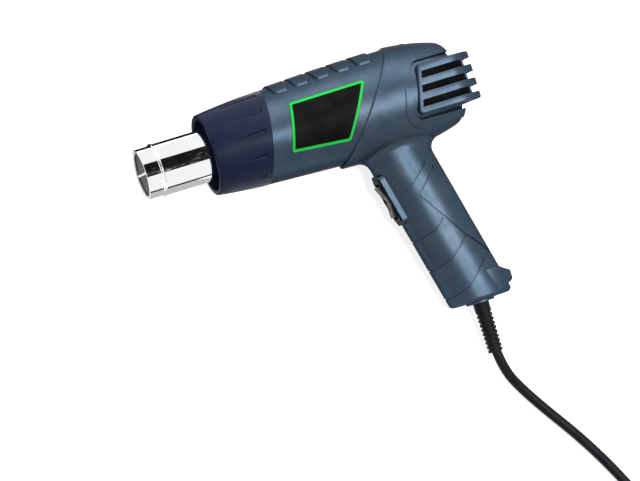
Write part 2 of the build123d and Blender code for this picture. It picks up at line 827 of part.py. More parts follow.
def wound_tube(stations, diameter):
    """An unbroken tube through (point, heading) stations, on two tangent arcs to a stretch.

    Its ends run straight for one diameter.
    """
    with BuildPart() as tube:
        with BuildLine() as path:
            Line(stations[0][0] - stations[0][1] * diameter, stations[0][0])
            for (start, heading), (end, final) in zip(stations, stations[1:]):
                chord = end - start
                spread = 2 * (1 - heading.dot(final))
                along = chord.dot(heading + final)
                reach = (sqrt(along**2 + spread * chord.dot(chord)) - along) / spread
                joint = (start + end) / 2 + (heading - final) * (reach / 2)
                joint_heading = (end - final * reach - start - heading * reach).normalized()
                TangentArc(start, joint, tangent=heading)
                TangentArc(joint, end, tangent=joint_heading)
            Line(stations[-1][0], stations[-1][0] + stations[-1][1] * diameter)
        with BuildSketch(Plane(path.line @ 0, z_dir=path.line % 0)):
            Circle(diameter / 2)
        sweep()
    middle_line = path.wires()[0]
    print("least gap", round(least_gap(middle_line, diameter), 2), "length", round(middle_line.length, 1))
    return tube


element_stations = []
for half_turn in range(2 * element_turns + 1):
    turn = pi * half_turn
    advance = element_pitch / (2 * pi)
    element_stations.append((
        Vector(element_front_x + advance * turn, element_radius * cos(turn), element_radius * sin(turn)),
        Vector(advance, -element_radius * sin(turn), element_radius * cos(turn)).normalized(),
    ))
heater_winding = wound_tube(element_stations, element_wire)

# ---------------------------------------------------------------- Motor
bearing_seat = bearing_diameter / 2 + slip / 2
shaft_radius = shaft_diameter / 2
cap_front_x = motor_front_x - cap_thickness
magnet_outer = motor_radius - can_wall - slip / 2
magnet_inner = magnet_outer - magnet_thickness
armature_radius = magnet_inner - air_gap
slot_radius = armature_slot_diameter / 2

with BuildPart() as motor_can:
    add(round_bar(motor_front_x, motor_rear_x, motor_radius, motor_radius - can_wall))
    add(round_bar(motor_rear_x - can_wall, motor_rear_x, motor_radius - can_wall, bearing_seat))
    add(round_bar(motor_rear_x - bearing_length, motor_rear_x, bearing_seat + bearing_seat_wall,
                  bearing_seat))

with BuildPart() as motor_end_cap:
    add(round_bar(cap_front_x, motor_front_x, motor_radius, bearing_seat))
    add(round_bar(motor_front_x, motor_front_x + can_wall, motor_radius - can_wall - slip / 2,
                  bearing_seat))

with BuildPart() as motor_magnets:
    with BuildSketch(Plane.YZ.offset(magnet_front_x)):
        Circle(magnet_outer)
        Circle(magnet_inner, mode=Mode.SUBTRACT)
        Rectangle(magnet_gap, motor_diameter, mode=Mode.SUBTRACT)
    extrude(amount=magnet_rear_x - magnet_front_x)

with BuildPart() as motor_shaft:
    add(round_bar(shaft_front_x, fan_rear_x, shaft_radius))
    chamfer(motor_shaft.faces().filter_by(GeomType.PLANE).edges(), running * 10)

with BuildPart() as front_bearing:
    add(round_bar(cap_front_x, cap_front_x + bearing_length, bearing_diameter / 2,
                  shaft_radius + running))

with BuildPart() as rear_bearing:
    add(round_bar(motor_rear_x - bearing_length, motor_rear_x, bearing_diameter / 2,
                  shaft_radius + running))

with BuildPart() as armature_core:
    with BuildSketch(Plane.YZ.offset(armature_front_x)):
        Circle(armature_radius)
        Circle(shaft_radius + running, mode=Mode.SUBTRACT)
        with PolarLocations(armature_slot_ring, armature_slots):
            Circle(slot_radius, mode=Mode.SUBTRACT)
        with PolarLocations((armature_slot_ring + armature_radius) / 2, armature_slots):
            Rectangle(armature_radius - armature_slot_ring + slot_radius, armature_slot_mouth,
                      mode=Mode.SUBTRACT)
    extrude(amount=armature_rear_x - armature_front_x)

with BuildPart() as armature_windings:
    with BuildSketch(Plane.YZ.offset(armature_front_x - winding_overhang)):
        with PolarLocations(armature_slot_ring, armature_slots):
            Circle(slot_radius - slip)
    extrude(amount=armature_rear_x - armature_front_x + 2 * winding_overhang)
    ring_outer = armature_slot_ring + slot_radius
    ring_inner = armature_slot_ring - slot_radius
    add(round_bar(armature_front_x - winding_overhang, armature_front_x - slip, ring_outer, ring_inner))
    add(round_bar(armature_rear_x + slip, armature_rear_x + winding_overhang, ring_outer, ring_inner))

with BuildPart() as commutator:
    add(round_bar(commutator_front_x, commutator_front_x + commutator_length, commutator_diameter / 2,
                  shaft_radius + running))

with BuildPart() as motor_mount:
    hub_inner = motor_radius + slip
    hub_outer = hub_inner + mount_wall
    ring_middle = (hub_inner + mount_diameter / 2) / 2
    with BuildSketch(Plane.YZ.offset(mount_front_x)):
        Circle(mount_diameter / 2)
        Circle(mount_diameter / 2 - mount_wall, mode=Mode.SUBTRACT)
        Circle(hub_outer)
        with PolarLocations(ring_middle, vane_count):
            Rectangle(mount_diameter / 2 - hub_inner - mount_wall, vane_thickness)
        Circle(hub_inner, mode=Mode.SUBTRACT)
    extrude(amount=mount_rear_x - mount_front_x)

blade_tip_radius = fan_diameter / 2 - blade_thickness / 2
blade_tip = (blade_tip_radius * cos(radians(blade_sweep)), blade_tip_radius * sin(radians(blade_sweep)))
with BuildPart() as fan_blade:
    with BuildSketch(Plane.XY.offset(fan_front_x)):
        with BuildLine():
            RadiusArc((blade_root_radius, 0), blade_tip, blade_curve_radius)
        trace(line_width=blade_thickness)
    extrude(amount=fan_rear_x - fan_front_x)

with BuildPart(Plane.YZ) as fan_blades:
    with PolarLocations(0, blade_count):
        add(fan_blade.part)

with BuildPart() as fan_impeller:
    add(round_bar(fan_front_x, fan_front_x + fan_disc, fan_diameter / 2))
    add(round_bar(fan_front_x, fan_rear_x, fan_hub_diameter / 2))
    add(fan_blades.part)
    with BuildSketch(Plane.YZ.offset(fan_front_x)):
        Circle(shaft_radius + running)
    extrude(amount=fan_rear_x - fan_front_x, mode=Mode.SUBTRACT)

rectifier_rear_x = cap_front_x - rectifier_gap
with BuildPart() as rectifier_board:
    add(round_bar(rectifier_rear_x - rectifier_thickness, rectifier_rear_x, rectifier_diameter / 2))
    with BuildSketch(Plane.YZ.offset(rectifier_rear_x)):
        with GridLocations(1, post_spacing, 1, 2):
            Circle(post_diameter / 2)
    extrude(amount=rectifier_gap)
    with BuildSketch(Plane.XZ.offset(-diode_length / 2)):
        with Locations((rectifier_rear_x - rectifier_thickness, 0)):
            with GridLocations(1, diode_spacing, 1, 3):
                Circle(diode_diameter / 2)
    extrude(amount=diode_length)

with BuildPart() as suppressor_capacitor:
    with BuildSketch(Plane.XY.offset(-clamp_saddle_depth)):
        with Locations(capacitor_middle):
            RectangleRounded(capacitor_length, capacitor_height, capacitor_round)
    extrude(amount=capacitor_width)
    fillet(suppressor_capacitor.faces().sort_by(Axis.Z)[-1].edges(), capacitor_round / 2)

# ---------------------------------------------------------------- Intake cover
def cover_plan(inset):
    """Outline of the intake cover from above, drawn in by inset, reaching ahead of its front."""
    rear_x = cover_rear_x - inset
    front_x = cover_front_bottom_x - cover_corner
    with Locations(((front_x + rear_x) / 2, 0)):
        Rectangle(rear_x - front_x, 2 * (cover_half_width - inset))
    fillet(vertices().sort_by(Axis.X)[-2:], cover_corner - inset)


def cover_skin_edge(edge):
    """Whether an edge of the solid cover lies along its outer skin, so that it is rounded."""
    along = edge % 0.5
    return abs(along.Y) < parallel and (abs(along.Z) < parallel or edge.center().X > cover_rear_x - 1)


fan_room = cover_half_width - fan_diameter / 2 - air_gap
cover_front_plane = side_cut((cover_front_top_x, cover_top_y), (cover_front_bottom_x, cover_bottom_y))
with BuildPart() as cover_slots:
    with BuildSketch(Plane.YZ.offset(cover_front_bottom_x)):
        with Locations((cover_middle_y, 0)):
            with GridLocations(slot_pitch, 1, slot_count, 1):
                Rectangle(slot_height, 2 * (cover_half_width + cover_corner))
    extrude(amount=cover_rear_x - cover_front_bottom_x)
    split(bisect_by=cover_front_plane.offset(slot_setback), keep=Keep.TOP)

mullion_front_x = cover_rear_x - fan_room
mullion_rear_x = cover_rear_x - cover_wall + air_gap
with BuildPart() as intake_grille:
    with BuildSketch(Plane.XZ.offset(-cover_bottom_y)):
        cover_plan(0)
    extrude(amount=-cover_height)
    add(cover_opening, mode=Mode.INTERSECT)
    fillet(intake_grille.edges().filter_by(cover_skin_edge), cover_edge_round)
    with BuildSketch(Plane.XZ.offset(-cover_bottom_y - cover_wall)):
        cover_plan(cover_wall)
    extrude(amount=-cover_height + 2 * cover_wall, mode=Mode.SUBTRACT)
    with BuildSketch(Plane.XZ.offset(-cover_bottom_y)):
        cover_plan(fan_room)
    extrude(amount=-cover_height, mode=Mode.SUBTRACT)
    add(cover_slots.part, mode=Mode.SUBTRACT)
    with BuildSketch(Plane.XZ.offset(-cover_bottom_y - cover_wall / 2)):
        with Locations(((mullion_front_x + mullion_rear_x) / 2, 0)):
            with GridLocations(1, mullion_spacing, 1, 2):
                Rectangle(mullion_rear_x - mullion_front_x, mullion_width)
    extrude(amount=-cover_height + cover_wall)

# ---------------------------------------------------------------- Switch
bezel_seat = switch_pad_height - bezel_recess
switch_axis = Axis(switch_plane.origin, switch_plane.z_dir)
with BuildPart() as switch_bezel:
    with BuildSketch(switch_plane.offset(bezel_seat)):
        RectangleRounded(bezel_length, bezel_width, bezel_round)
    extrude(amount=bezel_thickness)
    fillet(switch_bezel.faces().sort_by(switch_axis)[-1].edges(), bezel_edge_round)
    with BuildSketch(switch_plane.offset(bezel_seat)):
        Rectangle(switch_well_length, switch_well_width)
    extrude(amount=bezel_thickness, mode=Mode.SUBTRACT)

with BuildPart() as switch_body:
    with BuildSketch(switch_plane.offset(bezel_seat)):
        Rectangle(switch_body_length, switch_body_width)
    extrude(amount=-switch_body_depth - bezel_seat)
    with BuildSketch(switch_plane.offset(bezel_seat)):
        Rectangle(switch_well_length, switch_well_width)
    extrude(amount=-switch_well_depth - bezel_seat, mode=Mode.SUBTRACT)
    with BuildSketch(rocker_plane):
        Circle(rocker_pin_diameter / 2 + running)
    extrude(amount=switch_body_width, both=True, mode=Mode.SUBTRACT)

# The rocker's side view is a disc about the pivot, with a flat skirt, a keel and a V-shaped top
rocker_end_height = sqrt(rocker_radius**2 - rocker_end_reach**2)
rocker_middle_height = rocker_end_height - rocker_end_reach * tan(radians(rocker_angle))
with BuildPart() as switch_rocker:
    with BuildSketch(rocker_plane):
        with BuildLine():
            Polyline((-rocker_radius, -rocker_skirt), (-rocker_keel_width / 2, -rocker_skirt),
                     (-rocker_keel_width / 2, -rocker_keel_depth),
                     (rocker_keel_width / 2, -rocker_keel_depth), (rocker_keel_width / 2, -rocker_skirt),
                     (rocker_radius, -rocker_skirt), (rocker_radius, rocker_end_height),
                     (rocker_end_reach, rocker_end_height), (0, rocker_middle_height),
                     (-rocker_end_reach, rocker_end_height), (-rocker_radius, rocker_end_height),
                     close=True)
        make_face()
        Circle(rocker_radius, mode=Mode.INTERSECT)
    extrude(amount=rocker_width / 2, both=True)
    with BuildSketch(rocker_plane):
        Circle(rocker_pin_diameter / 2)
    extrude(amount=rocker_pin_length / 2, both=True)

with BuildPart() as switch_terminals:
    with BuildSketch(switch_plane.offset(-switch_body_depth)):
        with GridLocations(tab_spacing, 1, 3, 1):
            Rectangle(tab_thickness, tab_width)
    extrude(amount=-tab_length)

# ---------------------------------------------------------------- Strain relief, clamp and leads
relief_outer = relief_diameter / 2
relief_bore = cord_radius + slip / 2
relief_shrink = (relief_diameter - relief_tip_diameter) / 2 / relief_rib_count
relief_groove_y = relief_tip_y + relief_rib_count * relief_rib_pitch
relief_profile = [(relief_bore, gland_flange_y + relief_flange),
                  (relief_flange_diameter / 2, gland_flange_y + relief_flange),
                  (relief_flange_diameter / 2, gland_flange_y), (relief_outer, gland_flange_y),
                  (relief_outer, relief_groove_y), (relief_outer - relief_rib_depth, relief_groove_y)]
for rib in range(relief_rib_count):
    rib_bottom = relief_tip_y + (relief_rib_count - rib - 1) * relief_rib_pitch
    rib_radius = relief_outer - relief_shrink * (rib + 1)
    neck_radius = rib_radius - relief_rib_depth
    relief_profile += [(neck_radius, rib_bottom + relief_rib_width),
                       (rib_radius, rib_bottom + relief_rib_width), (rib_radius, rib_bottom),
                       (neck_radius, rib_bottom)]
relief_profile.append((relief_bore, relief_tip_y))

with BuildPart() as strain_relief:
    with BuildSketch(Plane(origin=(relief_x, 0, 0))):
        with BuildLine():
            Polyline(*relief_profile, close=True)
        make_face()
    revolve(axis=Axis((relief_x, 0, 0), (0, 1, 0)))

with BuildPart() as cord_clamp:
    with BuildSketch(Plane.XY.offset(clamp_saddle_depth - clamp_gap)):
        with Locations((relief_x, clamp_y)):
            RectangleRounded(clamp_length, clamp_width, clamp_round)
            with GridLocations(clamp_screw_spacing, 1, 2, 1):
                Circle(clamp_screw_diameter / 2 + slip, mode=Mode.SUBTRACT)
    extrude(amount=clamp_thickness)
    with BuildSketch(Plane((relief_x, clamp_y - clamp_width, 0), x_dir=(1, 0, 0), z_dir=(0, 1, 0))):
        Circle(relief_bore)
    extrude(amount=2 * clamp_width, mode=Mode.SUBTRACT)

clamp_top_z = clamp_saddle_depth - clamp_gap + clamp_thickness
with BuildPart() as clamp_screws:
    with BuildSketch(Plane.XY.offset(clamp_top_z)):
        with Locations((relief_x, clamp_y)):
            with GridLocations(clamp_screw_spacing, 1, 2, 1):
                Circle(clamp_screw_head / 2)
    extrude(amount=clamp_screw_head_height)
    with BuildSketch(Plane.XY.offset(clamp_top_z)):
        with Locations((relief_x, clamp_y)):
            with GridLocations(clamp_screw_spacing, 1, 2, 1):
                Circle(clamp_screw_diameter / 2)
    extrude(amount=-clamp_screw_reach)

with BuildPart() as cord_inner_end:
    with BuildSketch(Plane((relief_x, cord_inner_y, 0), x_dir=(1, 0, 0), z_dir=(0, -1, 0))):
        Circle(cord_radius)
    extrude(amount=cord_inner_y - cord_free_y)


def bent_tube(points, diameter):
    """A tube through straight runs, joined by arcs as wide as the shorter run at each corner lets."""
    corners = list(zip(points, points[1:], points[2:]))
    radii = []
    for before, corner, after in corners:
        half_turn = radians((corner - before).get_angle(after - corner)) / 2
        radii.append(arc_share * min((corner - before).length, (after - corner).length) / tan(half_turn))
    with BuildPart() as tube:
        with BuildLine() as path:
            FilletPolyline(*points, radius=radii)
        with BuildSketch(Plane(path.line @ 0, z_dir=path.line % 0)):
            Circle(diameter / 2)
        sweep()
    print("least bend radius", round(min(radii), 1))
    return tube


def switch_tab(place):
    """End of a switch terminal, counted from the upper one."""
    return switch_plane.from_local_coords(Vector(place * tab_spacing, 0, -switch_body_depth - tab_length - lead_gap))


def heater_tab(place):
    """End of a heater terminal, counted from the right one."""
    return Vector(terminal_rear_x + lead_diameter / 2, terminal_y, place * terminal_spacing)


cord_end_y = cord_inner_y + lead_gap
lead_offset = cord_radius / 2
throat_points = [(185.5, -48.0), (163.0, -36.0), (157.0, -22.0), (126.0, -22.0)]


def heater_lead(first_points, place):
    """A lead that runs from the grip under the motor to a heater terminal."""
    bends = [Vector(x, y, place * terminal_spacing) for x, y in throat_points]
    return bent_tube(first_points + bends + [heater_tab(place)], lead_diameter)


lead_live = bent_tube([Vector(relief_x, cord_end_y, lead_offset), Vector(201.0, -108.0, lead_offset),
                       Vector(197.0, -84.0, 0), switch_tab(1)], lead_diameter)
lead_low = heater_lead([switch_tab(0)], 0)
lead_high = heater_lead([switch_tab(-1)], 1)
lead_neutral = heater_lead([Vector(relief_x, cord_end_y, -lead_offset), Vector(202.0, -106.0, -5.0),
                            Vector(196.0, -78.0, -terminal_spacing)], -1)

# ---------------------------------------------------------------- Cord, coil, tie and plug, as they lie
coil_z = floor_z + tie_thickness + tie_gap / 2 + cord_radius
cord_floor_z = floor_z + cord_radius
route_z = [cord_floor_z, coil_z, coil_z]
cord_points = [lie(relief_x, cord_free_y, 0), lie(relief_x, cord_bend_y, 0)]
cord_points += [Vector(x, y, z) for (x, y), z in zip(cord_route, route_z)]
power_cord = bent_tube(cord_points, cord_diameter)

coil_heading = (cord_points[-1] - cord_points[-2]).normalized()
coil_entry = cord_points[-1] + coil_heading * cord_diameter
coil_outer_radius = coil_mean_diameter / 2 + coil_pitch * coil_turns / 4
coil_outward = Vector(0, 0, 1).cross(coil_heading)
coil_centre = coil_entry - coil_outward * coil_outer_radius
coil_start_angle = atan2(coil_outward.Y, coil_outward.X)
coil_whole_turn = 2 * pi * coil_turns
climb_start = coil_whole_turn / 2 - pi / 2
climb_end = coil_whole_turn / 2 + pi / 2


def coil_station(turned):
    """Point and heading on the coil: in on the lower layer, up, then out on the upper one."""
    inward = min(turned, coil_whole_turn - turned)
    radius = coil_outer_radius - coil_pitch * inward / (2 * pi)
    drift = 0.0
    if 0 < turned < coil_whole_turn and inward != coil_whole_turn / 2:
        drift = -coil_pitch / (2 * pi) if turned == inward else coil_pitch / (2 * pi)
    climbed = min(max(turned - climb_start, 0), pi)
    angle = coil_start_angle - turned
    outward = Vector(cos(angle), sin(angle), 0)
    forward = Vector(sin(angle), -cos(angle), 0)
    height = coil_pitch * (1 - cos(climbed)) / 2
    rise = coil_pitch * sin(climbed) / 2
    point = coil_centre + outward * radius + Vector(0, 0, height)
    return point, (outward * drift + forward * radius + Vector(0, 0, rise)).normalized()


coil_steps = sorted([pi * step for step in range(2 * coil_turns + 1)] + [climb_start, climb_end])
cord_coil = wound_tube([coil_station(step) for step in coil_steps], cord_diameter)

tie_middle, tie_heading = coil_station(pi)
tie_outward = (tie_middle - coil_centre).normalized()
tie_inner_width = (coil_turns / 2 - 1) * coil_pitch + cord_diameter + 2 * tie_gap
tie_inner_height = coil_pitch + cord_diameter + tie_gap
tie_plane = Plane(origin=coil_centre + tie_outward * coil_mean_diameter / 2 + Vector(0, 0, coil_pitch / 2),
                  x_dir=tie_outward, z_dir=tie_heading)
with BuildPart() as coil_tie:
    with BuildSketch(tie_plane):
        RectangleRounded(tie_inner_width + 2 * tie_thickness, tie_inner_height + 2 * tie_thickness,
                         tie_round + tie_thickness)
        RectangleRounded(tie_inner_width, tie_inner_height, tie_round, mode=Mode.SUBTRACT)
    extrude(amount=tie_width / 2, both=True)

cord_end, plug_heading = coil_station(coil_whole_turn)
plug_height = 2 * (cord_end.Z - floor_z)
plug_plane = Plane(origin=cord_end + plug_heading * cord_diameter,
                   x_dir=plug_heading.cross(Vector(0, 0, -1)), z_dir=plug_heading)
with BuildPart() as plug_body:
    with BuildSketch(plug_plane.offset(plug_neck_length)):
        RectangleRounded(plug_width, plug_height, plug_round)
    extrude(amount=plug_length)
    fillet(plug_body.edges().group_by(Axis(plug_plane.origin, plug_heading))[0], plug_round / 2)
    with BuildSketch(plug_plane):
        Circle(plug_neck_tip_diameter / 2)
    with BuildSketch(plug_plane.offset(plug_neck_length + plug_round)):
        Circle(plug_neck_diameter / 2)
    loft()


def plug_prong(side):
    """One of the plug's two flat prongs, with the hole near its tip."""
    with BuildPart() as prong:
        with BuildSketch(plug_plane.offset(plug_neck_length + plug_length)):
            with Locations((0, side * prong_spacing / 2)):
                Rectangle(prong_width, prong_thickness)
        extrude(amount=prong_length)
        along = plug_neck_length + plug_length + prong_length - prong_hole_from_tip
        hole_plane = Plane(origin=plug_plane.from_local_coords((0, 0, along)), x_dir=plug_heading,
                           z_dir=(0, 0, 1))
        with BuildSketch(hole_plane):
            Circle(prong_hole / 2)
        extrude(amount=plug_height, both=True, mode=Mode.SUBTRACT)
    return prong


plug_blade_line = plug_prong(1)
plug_blade_neutral = plug_prong(-1)

# ---------------------------------------------------------------- Every piece, laid down and written
gun_pieces = {
    "left_shell": left_shell.part,
    "right_shell": right_shell.part,
    "housing_screws": housing_screws.part,
    "front_collar": front_collar.part,
    "nozzle_tube": nozzle_tube.part,
    "outlet_grille": outlet_grille.part,
    "grille_bar": grille_bar.part,
    "badge_left": badge_left,
    "badge_right": badge_right,
    "intake_grille": intake_grille.part,
    "mica_sleeve": mica_sleeve.part,
    "mica_board_upright": mica_board_upright.part,
    "mica_board_level": mica_board_level.part,
    "heater_winding": heater_winding.part,
    "heater_end_disc": heater_end_disc.part,
    "heater_terminals": heater_terminals.part,
    "thermal_cutout": thermal_cutout.part,
    "motor_can": motor_can.part,
    "motor_end_cap": motor_end_cap.part,
    "motor_magnets": motor_magnets.part,
    "motor_shaft": motor_shaft.part,
    "front_bearing": front_bearing.part,
    "rear_bearing": rear_bearing.part,
    "armature_core": armature_core.part,
    "armature_windings": armature_windings.part,
    "commutator": commutator.part,
    "motor_mount": motor_mount.part,
    "fan_impeller": fan_impeller.part,
    "rectifier_board": rectifier_board.part,
    "suppressor_capacitor": suppressor_capacitor.part,
    "switch_bezel": switch_bezel.part,
    "switch_body": switch_body.part,
    "switch_rocker": switch_rocker.part,
    "switch_terminals": switch_terminals.part,
    "strain_relief": strain_relief.part,
    "cord_clamp": cord_clamp.part,
    "clamp_screws": clamp_screws.part,
    "cord_inner_end": cord_inner_end.part,
    "lead_live": lead_live.part,
    "lead_neutral": lead_neutral.part,
    "lead_low": lead_low.part,
    "lead_high": lead_high.part,
}
floor_pieces = {
    "power_cord": power_cord.part,
    "cord_coil": cord_coil.part,
    "coil_tie": coil_tie.part,
    "plug_body": plug_body.part,
    "plug_blade_line": plug_blade_line.part,
    "plug_blade_neutral": plug_blade_neutral.part,
}
for piece in gun_pieces.values():
    piece.move(Location((0, 0, 0), (degrees(lie_angle), 0, 0)))

for name, piece in (gun_pieces | floor_pieces).items():
    piece.label = name
    export_step(piece, f"parts/{name}.step")
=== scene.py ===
"""Heat gun: its visible pieces, their finishes and the stage, built on the loaded frame.

The gun is drawn in its own frame: X runs back from the middle of the muzzle, Y runs up from the
grip and Z to the gun's left. LIE_TURN turns a finished piece about X, so that it lies with the
frame's solids. The cord and the plug are drawn where they lie.

The constants are in mm. The camera's distance, the lamps, the floor and the cards on it are in
metres, and so are the panel's settings and all that a shader takes.
"""
from math import asin, atan2, cos, degrees, hypot, pi, radians, sin

import bmesh
import bpy
from mathutils import Matrix, Vector


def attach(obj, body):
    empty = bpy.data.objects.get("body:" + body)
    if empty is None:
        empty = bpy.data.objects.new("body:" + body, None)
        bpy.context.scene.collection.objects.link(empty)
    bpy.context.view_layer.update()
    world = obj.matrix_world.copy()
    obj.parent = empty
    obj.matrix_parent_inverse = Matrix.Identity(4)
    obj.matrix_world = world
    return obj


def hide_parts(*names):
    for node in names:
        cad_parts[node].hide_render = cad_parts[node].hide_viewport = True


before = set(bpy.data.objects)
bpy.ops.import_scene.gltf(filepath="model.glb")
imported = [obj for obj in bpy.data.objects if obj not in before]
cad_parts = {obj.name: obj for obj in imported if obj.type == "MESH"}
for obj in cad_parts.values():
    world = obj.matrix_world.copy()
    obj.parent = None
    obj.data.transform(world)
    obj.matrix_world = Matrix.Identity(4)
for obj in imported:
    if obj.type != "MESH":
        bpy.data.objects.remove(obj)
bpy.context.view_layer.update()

bl_info = {
    "name": "Heat gun",
    "version": (1, 0, 0),
    "blender": (4, 5, 0),
    "location": "3D View > Sidebar > Heat gun",
    "description": "Models and finishes a pistol-grip heat gun with its cord",
    "category": "Object",
}

MM = 0.001

# ---------------- Where the gun lies
REST_HALF_WIDTH = 34.2
GRIP_END = 146.0
GRIP_HALF_WIDTH = 18.0
LIE_ANGLE = (asin(REST_HALF_WIDTH / hypot(GRIP_END, GRIP_HALF_WIDTH))
             - atan2(GRIP_HALF_WIDTH, GRIP_END))
FLOOR_Z = -REST_HALF_WIDTH * MM
LIE_TURN = Matrix.Rotation(LIE_ANGLE, 4, "X")

# ---------------- Camera, lamps and floor
CAMERA_DISTANCE = 2.5
CAMERA_LENS = 207.4
CAMERA_YAW = radians(14.0)
CAMERA_ROLL = radians(17.3)
CAMERA_AIM = (104.8, -77.5, 0.0)
LAMP_AIM = (130.0, -30.0, 0.0)
# Each lamp's place from its aim, along the camera's right, up and back, and its size, in metres
LAMPS = [
    ("key", (0.06, 1.10, 0.55), (1.4, 1.0)),
    ("fill", (0.82, 0.14, 1.09), (0.55, 0.40)),
    ("front", (0.33, 0.02, 1.20), (0.16, 0.24)),
]
FLOOR_SIZE = 6.0
FLOOR_MIDDLE = (0.1, -0.1)
FLOOR_DROP = 0.0002

# ---------------- Cards that the tube mirrors
CARD_RADIUS = 150.0
CARD_REACH = (-110.0, 80.0)
CARD_STEPS = 180
# Each bent card's first and last angle round the tube, above the gun's left, and its brightness
BENT_CARDS = [
    ("card_line", -99.0, -87.0, 0.01),
    ("card_low", -87.0, -19.0, 1.0),
    ("card_middle", -19.0, 39.0, 0.01),
    ("card_high", 39.0, 141.0, 1.0),
]
# Each card on the floor: its lowest and highest corners in metres, and its brightness
FLOOR_CARDS = [
    ("card_floor", (-0.03, -0.210, -0.0339), (0.062, -0.020, -0.0338), 0.55),
    ("card_above", (-0.03, 0.020, -0.0339), (0.090, 0.085, -0.0338), 0.02),
]

# ---------------- Cord
RELIEF_X = 200.0
CORD_START_Y = -175.0
CORD_BEND_Y = -195.5
CORD_ROUTE = [(213.0, -217.5), (247.5, -270.0), (273.1, -327.6)]
TIE_THICKNESS = 1.0
TIE_GAP = 0.9
COIL_PITCH = 7.8
COIL_STEPS = 16
PLUG_NECK = 32.0
PLUG_NECK_TIP_DIAMETER = 7.7
PLUG_NECK_DIAMETER = 11.0
PLUG_LENGTH = 34.0
PLUG_WIDTH = 22.0
PLUG_CORNER = 4.0
PLUG_TAPER = 0.86
PLUG_EDGE = 0.5
# Grooves across the finger grip, and round the neck: how many, the first, their pitch and width
GRIP_GROOVES = (5, 5.0, 2.8, 1.4)
GRIP_GROOVE_INSET = 0.6
GRIP_GROOVE_DEPTH = 0.7
NECK_GROOVES = (8, 6.0, 3.0, 1.3)
NECK_GROOVE_DEPTH = 0.55
NECK_OVERLAP = 1.5
CORD_IN_PLUG = 8.0

# ---------------- Badge, switch and mouth
BADGE_CORNERS = [(105.7, 16.7), (160.3, 17.3), (139.3, -19.5), (97.9, -15.9)]
BADGE_EDGE = 1.6
ROCKER_PIVOT = (161.735, -65.011)
ROCKER_SLOPE = (0.2288, -0.9735)
ROCKER_MARKS = [("I", -8.0), ("0", 0.0), ("II", 8.0)]
CAPITAL_SHARE = 0.7
# The marks come down onto the rocker from MARK_DROP above its pivot, and stop MARK_LIFT off it.
# MARK_SINK leaves most of their thickness under that.
MARK_DROP = 9.0
MARK_LIFT = 0.05
MARK_SINK = -0.6
MESH_X = 2.4
MESH_RADIUS = 16.6
RIM_X = 1.0
RIM_MAJOR = 15.95
RIM_MINOR = 0.75

# ---------------- Black sheet behind the louvres: painted shade inside the intake
SHADE_SHEET_FRONT_X = 190.5
SHADE_SHEET_REAR_X = 233.5
SHADE_SHEET_MIDDLE_Y = -0.3
SHADE_SHEET_HEIGHT = 25.0
SHADE_SHEET_HALF_WIDTH = 26.4
SHADE_SHEET_CORNER = 14.0
SHADE_SHEET_THICKNESS = 1.0

# ---------------- Surfaces
CLOUDS_PER_METRE = 28.0
SPECKS_PER_METRE = 1300.0
SMEARS_PER_METRE = 90.0
WORN_PATCHES_PER_METRE = 160.0
WORN_GAIN = 1.6
WORN_LIFT = 0.03
DUST_PATCHES_PER_METRE = 55.0
DUST_SPECKS_PER_METRE = 1900.0
DUST_COLOUR = (0.42, 0.41, 0.39)
DUST_ROUGHNESS = 0.4
BADGE_DUST_COLOUR = (0.4, 0.4, 0.4)
RING_SQUEEZE = 0.02
SCRATCH_STRETCH = 0.06
SCRATCHES_PER_METRE = 1500.0
SCRATCH_SHADE = 0.55
SCRATCH_ROUGHNESS = 0.12
SEAM_SHADE = 0.2
SEAM_SHARE = 0.75
SEAM_DEPTH = 0.0002
STRAND_SHADE = 0.45


def length_setting(label, note, value, low, high):
    return bpy.props.FloatProperty(name=label, description=note, default=value, min=low, max=high,
                                   unit="LENGTH")


def colour_setting(label, note, value):
    return bpy.props.FloatVectorProperty(name=label, description=note, default=value, min=0.0,
                                         max=1.0, subtype="COLOR")


def light_setting(label, note, value, subtype="NONE"):
    return bpy.props.FloatProperty(name=label, description=note, default=value, min=0.0,
                                   subtype=subtype)


class HeatGunSizes(bpy.types.PropertyGroup):
    """Sizes of the pieces that this file draws."""

    cord_diameter: length_setting(
        "Cord diameter", "Diameter of the cord's sheath", 0.007, 0.003, 0.012)
    coil_diameter: length_setting(
        "Coil diameter", "Diameter of the stored coil at the middle of its turns",
        0.083, 0.05, 0.15)
    coil_turns: bpy.props.IntProperty(
        name="Coil turns", description="Turns in the stored coil, half of them on the way in",
        default=6, min=2, max=12)
    mesh_pitch: length_setting(
        "Mesh pitch", "Distance between the wires of the outlet mesh", 0.0013, 0.0008, 0.004)
    mesh_wire: length_setting(
        "Mesh wire", "Thickness of the wires of the outlet mesh", 0.00042, 0.0001, 0.001)
    louvre_round: length_setting(
        "Louvre rounding", "Radius on the edges of the intake's louvres", 0.0015, 0.0001, 0.002)
    mark_height: length_setting(
        "Mark height", "Height of the marks on the rocker", 0.0042, 0.001, 0.006)


class HeatGunColours(bpy.types.PropertyGroup):
    """Colours of the finishes."""

    housing: colour_setting(
        "Housing", "Plastic of the two shells and the intake cover", (0.038, 0.061, 0.088))
    collar: colour_setting("Collar", "Plastic of the fluted collar", (0.0065, 0.0115, 0.038))
    steel: colour_setting("Outlet tube", "Polished steel of the outlet tube", (0.90, 0.90, 0.91))
    badge: colour_setting("Badge", "Face of the badge", (0.006, 0.006, 0.007))
    badge_edge: colour_setting("Badge edge", "Line round the badge", (0.020, 0.62, 0.070))
    cord: colour_setting(
        "Cord", "Sheath of the cord, the strain relief and the plug", (0.0045, 0.0052, 0.0075))
    marks: colour_setting("Marks", "Marks on the rocker", (0.80, 0.82, 0.84))


